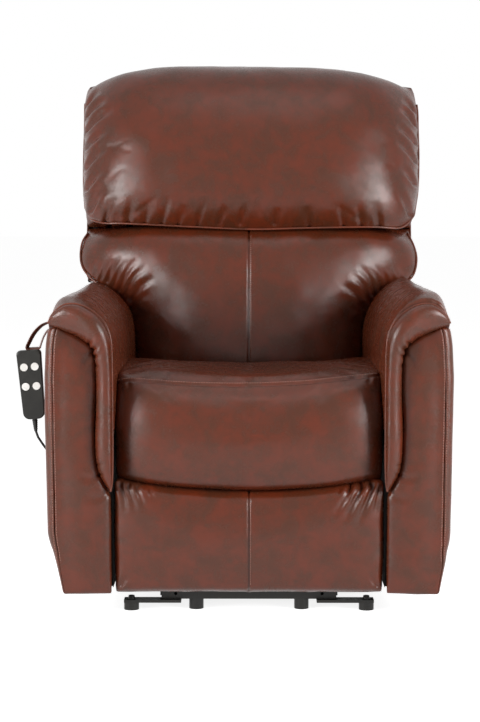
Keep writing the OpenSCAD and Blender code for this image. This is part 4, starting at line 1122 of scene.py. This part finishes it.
outline = np.array(rounded(0.0172, 0.064, 0.0085, 0, 90)
                   + rounded(-0.0172, 0.064, 0.0085, 90, 180)
                   + rounded(-0.0085, -0.0585, 0.014, 184, 270)
                   + rounded(0.0085, -0.0585, 0.014, 270, 356))
points = []
layers = [(-half_deep, 0.8), (-half_deep, 0.925), (-0.0118, 0.962), (-0.01, 0.985),
          (-0.007, 1.0), (-0.0006, 1.0), (-0.0004, 0.975), (0.0004, 0.975), (0.0006, 1.0),
          (0.0075, 0.99), (0.0105, 0.965), (0.0122, 0.925), (half_deep, 0.8)]
for depth, share in layers:
    inset = (1 - share) * half_wide
    drawn_in = outline * np.array(((half_wide - inset) / half_wide,
                                   (half_tall - inset) / half_tall))
    points += [(x, depth, z) for x, z in drawn_in]
count = len(outline)
faces = [(a, d, c, b) for a, b, c, d in walls(len(layers), count)]
faces.append(tuple(range(count)))
faces.append(tuple((len(layers) - 1) * count + k for k in range(count - 1, -1, -1)))
handset = mesh_object("handset_body", in_hand(points), faces, black_plastic)
cutters = []
well_sides, well_gap, well_deep = 48, 0.0005, 0.0028
for button in ("button_1", "button_2", "button_3", "button_4"):
    low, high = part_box(button)
    middle = (low + high) / 2
    radius = (high.x - low.x) / 2 + well_gap
    ring = [(middle.x + radius * math.cos(a), middle.z + radius * math.sin(a))
            for a in np.linspace(0, 2 * math.pi, well_sides + 1)[:-1]]
    face_y = chair_mid.y + hand_mid[1] - half_deep
    points = [(x, y, z) for y in (face_y - 0.01, face_y + well_deep) for x, z in ring]
    faces = [*walls(2, well_sides), tuple(range(well_sides - 1, -1, -1)),
             tuple(range(well_sides, 2 * well_sides))]
    well = mesh_object("well", points, faces)
    cutters.append(well)
    cut = handset.modifiers.new("well", "BOOLEAN")
    cut.operation, cut.object, cut.solver = "DIFFERENCE", well, "EXACT"
cut_mesh = bpy.data.meshes.new_from_object(
    handset.evaluated_get(bpy.context.evaluated_depsgraph_get()))
handset.modifiers.clear()
handset.data = cut_mesh
handset.data.polygons.foreach_set("use_smooth", [True] * len(cut_mesh.polygons))
handset.data.set_sharp_from_angle(angle=math.radians(32))
for well in cutters:
    bpy.data.objects.remove(well)
fit(handset, "carcass", "black_plastic", "handset")

# The strain relief's moulded rings
for k in range(5):
    z = -0.0765 - k * 0.0042
    radius = 0.0053 - k * 0.00037
    ring = [(radius * math.cos(a), radius * math.sin(a), z)
            for a in np.linspace(0, 2 * math.pi, 25)[:-1]]
    tube("relief_ring_%d" % (k + 1), in_hand(ring), 0.00085, "carcass", "black_rubber", rubber,
         closed=True)

# ---- Handset loop ----
# A folded strip of the chair's own leather, screwed under the arm's edge, that carries the
# handset by its top.
loop_steps = 110
loop = smooth_line([(x, -0.31, z) for x, z in (
    (-0.4085, 0.5915), (-0.4175, 0.5905), (-0.432, 0.5835), (-0.4465, 0.568),
    (-0.4565, 0.55), (-0.461, 0.5395), (-0.459, 0.5362), (-0.4525, 0.5362),
    (-0.446, 0.5368), (-0.44, 0.5374), (-0.4355, 0.5382), (-0.4335, 0.542),
    (-0.431, 0.55), (-0.426, 0.5625), (-0.418, 0.5745), (-0.4085, 0.5795))], loop_steps)
strap_half, strap_thick = 0.006, 0.0012
points = []
for k, spot in enumerate(loop):
    ahead = loop[min(k + 1, loop_steps - 1)] - loop[max(k - 1, 0)]
    ahead /= np.linalg.norm(ahead)
    out = np.array((-ahead[2], 0, ahead[0]))
    twist = math.radians(14 + 20 * math.sin(math.pi * min(k / 78, 1)))
    across = np.array((0, math.cos(twist), 0)) + out * math.sin(twist)
    out = out * math.cos(twist) - np.array((0, math.sin(twist), 0))
    for wide, thick in ((-1, 0), (-0.94, 0.7), (-0.8, 1), (0, 1.12), (0.8, 1), (0.94, 0.7),
                        (1, 0), (0.94, -0.7), (0.8, -1), (0, -1.12), (-0.8, -1), (-0.94, -0.7)):
        points.append(spot + across * wide * strap_half + out * thick * strap_thick)
sides = len(points) // loop_steps
faces = [*walls(loop_steps, sides), tuple(range(sides - 1, -1, -1)),
         tuple(range(len(points) - sides, len(points)))]
fit(mesh_object("handset_loop", chair(points), faces, lining_hide), "carcass", "leather",
    "handset_strap")

# ---- Wood and webbing ----
# Birch plywood boards with their plies showing at the edges, and elastic webbing straps woven
# of rubber and cotton, stapled across the frames.
birch, tree = new_material("birch_plywood")
where = node(tree, "TexCoord").outputs["Object"]
along_grain = node(tree, "Mapping", {"Vector": where, "Scale": (60.0, 4.0, 60.0)})
growth = node(tree, "TexNoise", {"Vector": along_grain, "Scale": 1.0, "Detail": 6.0,
                                 "Roughness": 0.6, "Distortion": 0.4})
plies = node(tree, "TexWave", {"Vector": where, "Scale": 110.0, "Distortion": 0.6,
                               "Detail": 1.0})
streak = node(tree, "MapRange", {0: growth, 1: 0.35, 2: 0.68})
layered = node(tree, "Math", {0: plies, 1: 0.18, 2: streak}, operation="MULTIPLY_ADD")
coat(tree, {"Base Color": two_tone(tree, layered, (0.5, 0.33, 0.19), (0.68, 0.5, 0.32)),
            "Roughness": 0.62,
            "Normal": node(tree, "Bump", {"Height": layered, "Strength": 0.3,
                                          "Distance": 0.0003})})

elastic, tree = new_material("elastic_webbing")
where = node(tree, "TexCoord").outputs["Object"]
warp, weft, rise = (node(tree, "TexWave", {"Vector": where, "Scale": 170.0},
                         bands_direction=way) for way in "XYZ")
cross = node(tree, "Math", {0: warp, 1: weft}, operation="MULTIPLY")
cross = node(tree, "Math", {0: cross, 1: rise}, operation="ADD")
coat(tree, {"Base Color": two_tone(tree, cross, (0.018, 0.018, 0.019), (0.06, 0.058, 0.055)),
            "Roughness": 0.8, "Sheen Weight": 0.2,
            "Normal": node(tree, "Bump", {"Height": cross, "Strength": 0.7,
                                          "Distance": 0.0006})})

# ---- Steel base, links, actuators and frames ----
# Welded square tube and flat bar in black powder coat, turned bright rods, moulded motor
# housings and feet. These pieces keep their own shapes and get their real finishes here.
# Black lining cloth covers the wood of the arms, the back and the footrest board, and its
# near-black colour also paints the shade seen through the gaps between the covers.
finishes = {"black_steel": powder_coat, "bright_steel": tube_steel, "plywood": birch,
            "black_plastic": black_plastic, "button_white": button_plastic,
            "black_rubber": rubber, "webbing": elastic, "leather": lining_hide}
for name, shown in frame["nodes"].items():
    for place in shown.material_slots:
        place.material = finishes.get(place.material.name, powder_coat)
for name in ("arm_frame_left", "arm_frame_right", "back_frame", "footrest_board"):
    frame["nodes"][name].material_slots[0].material = lining_cloth_painted_gap_shade
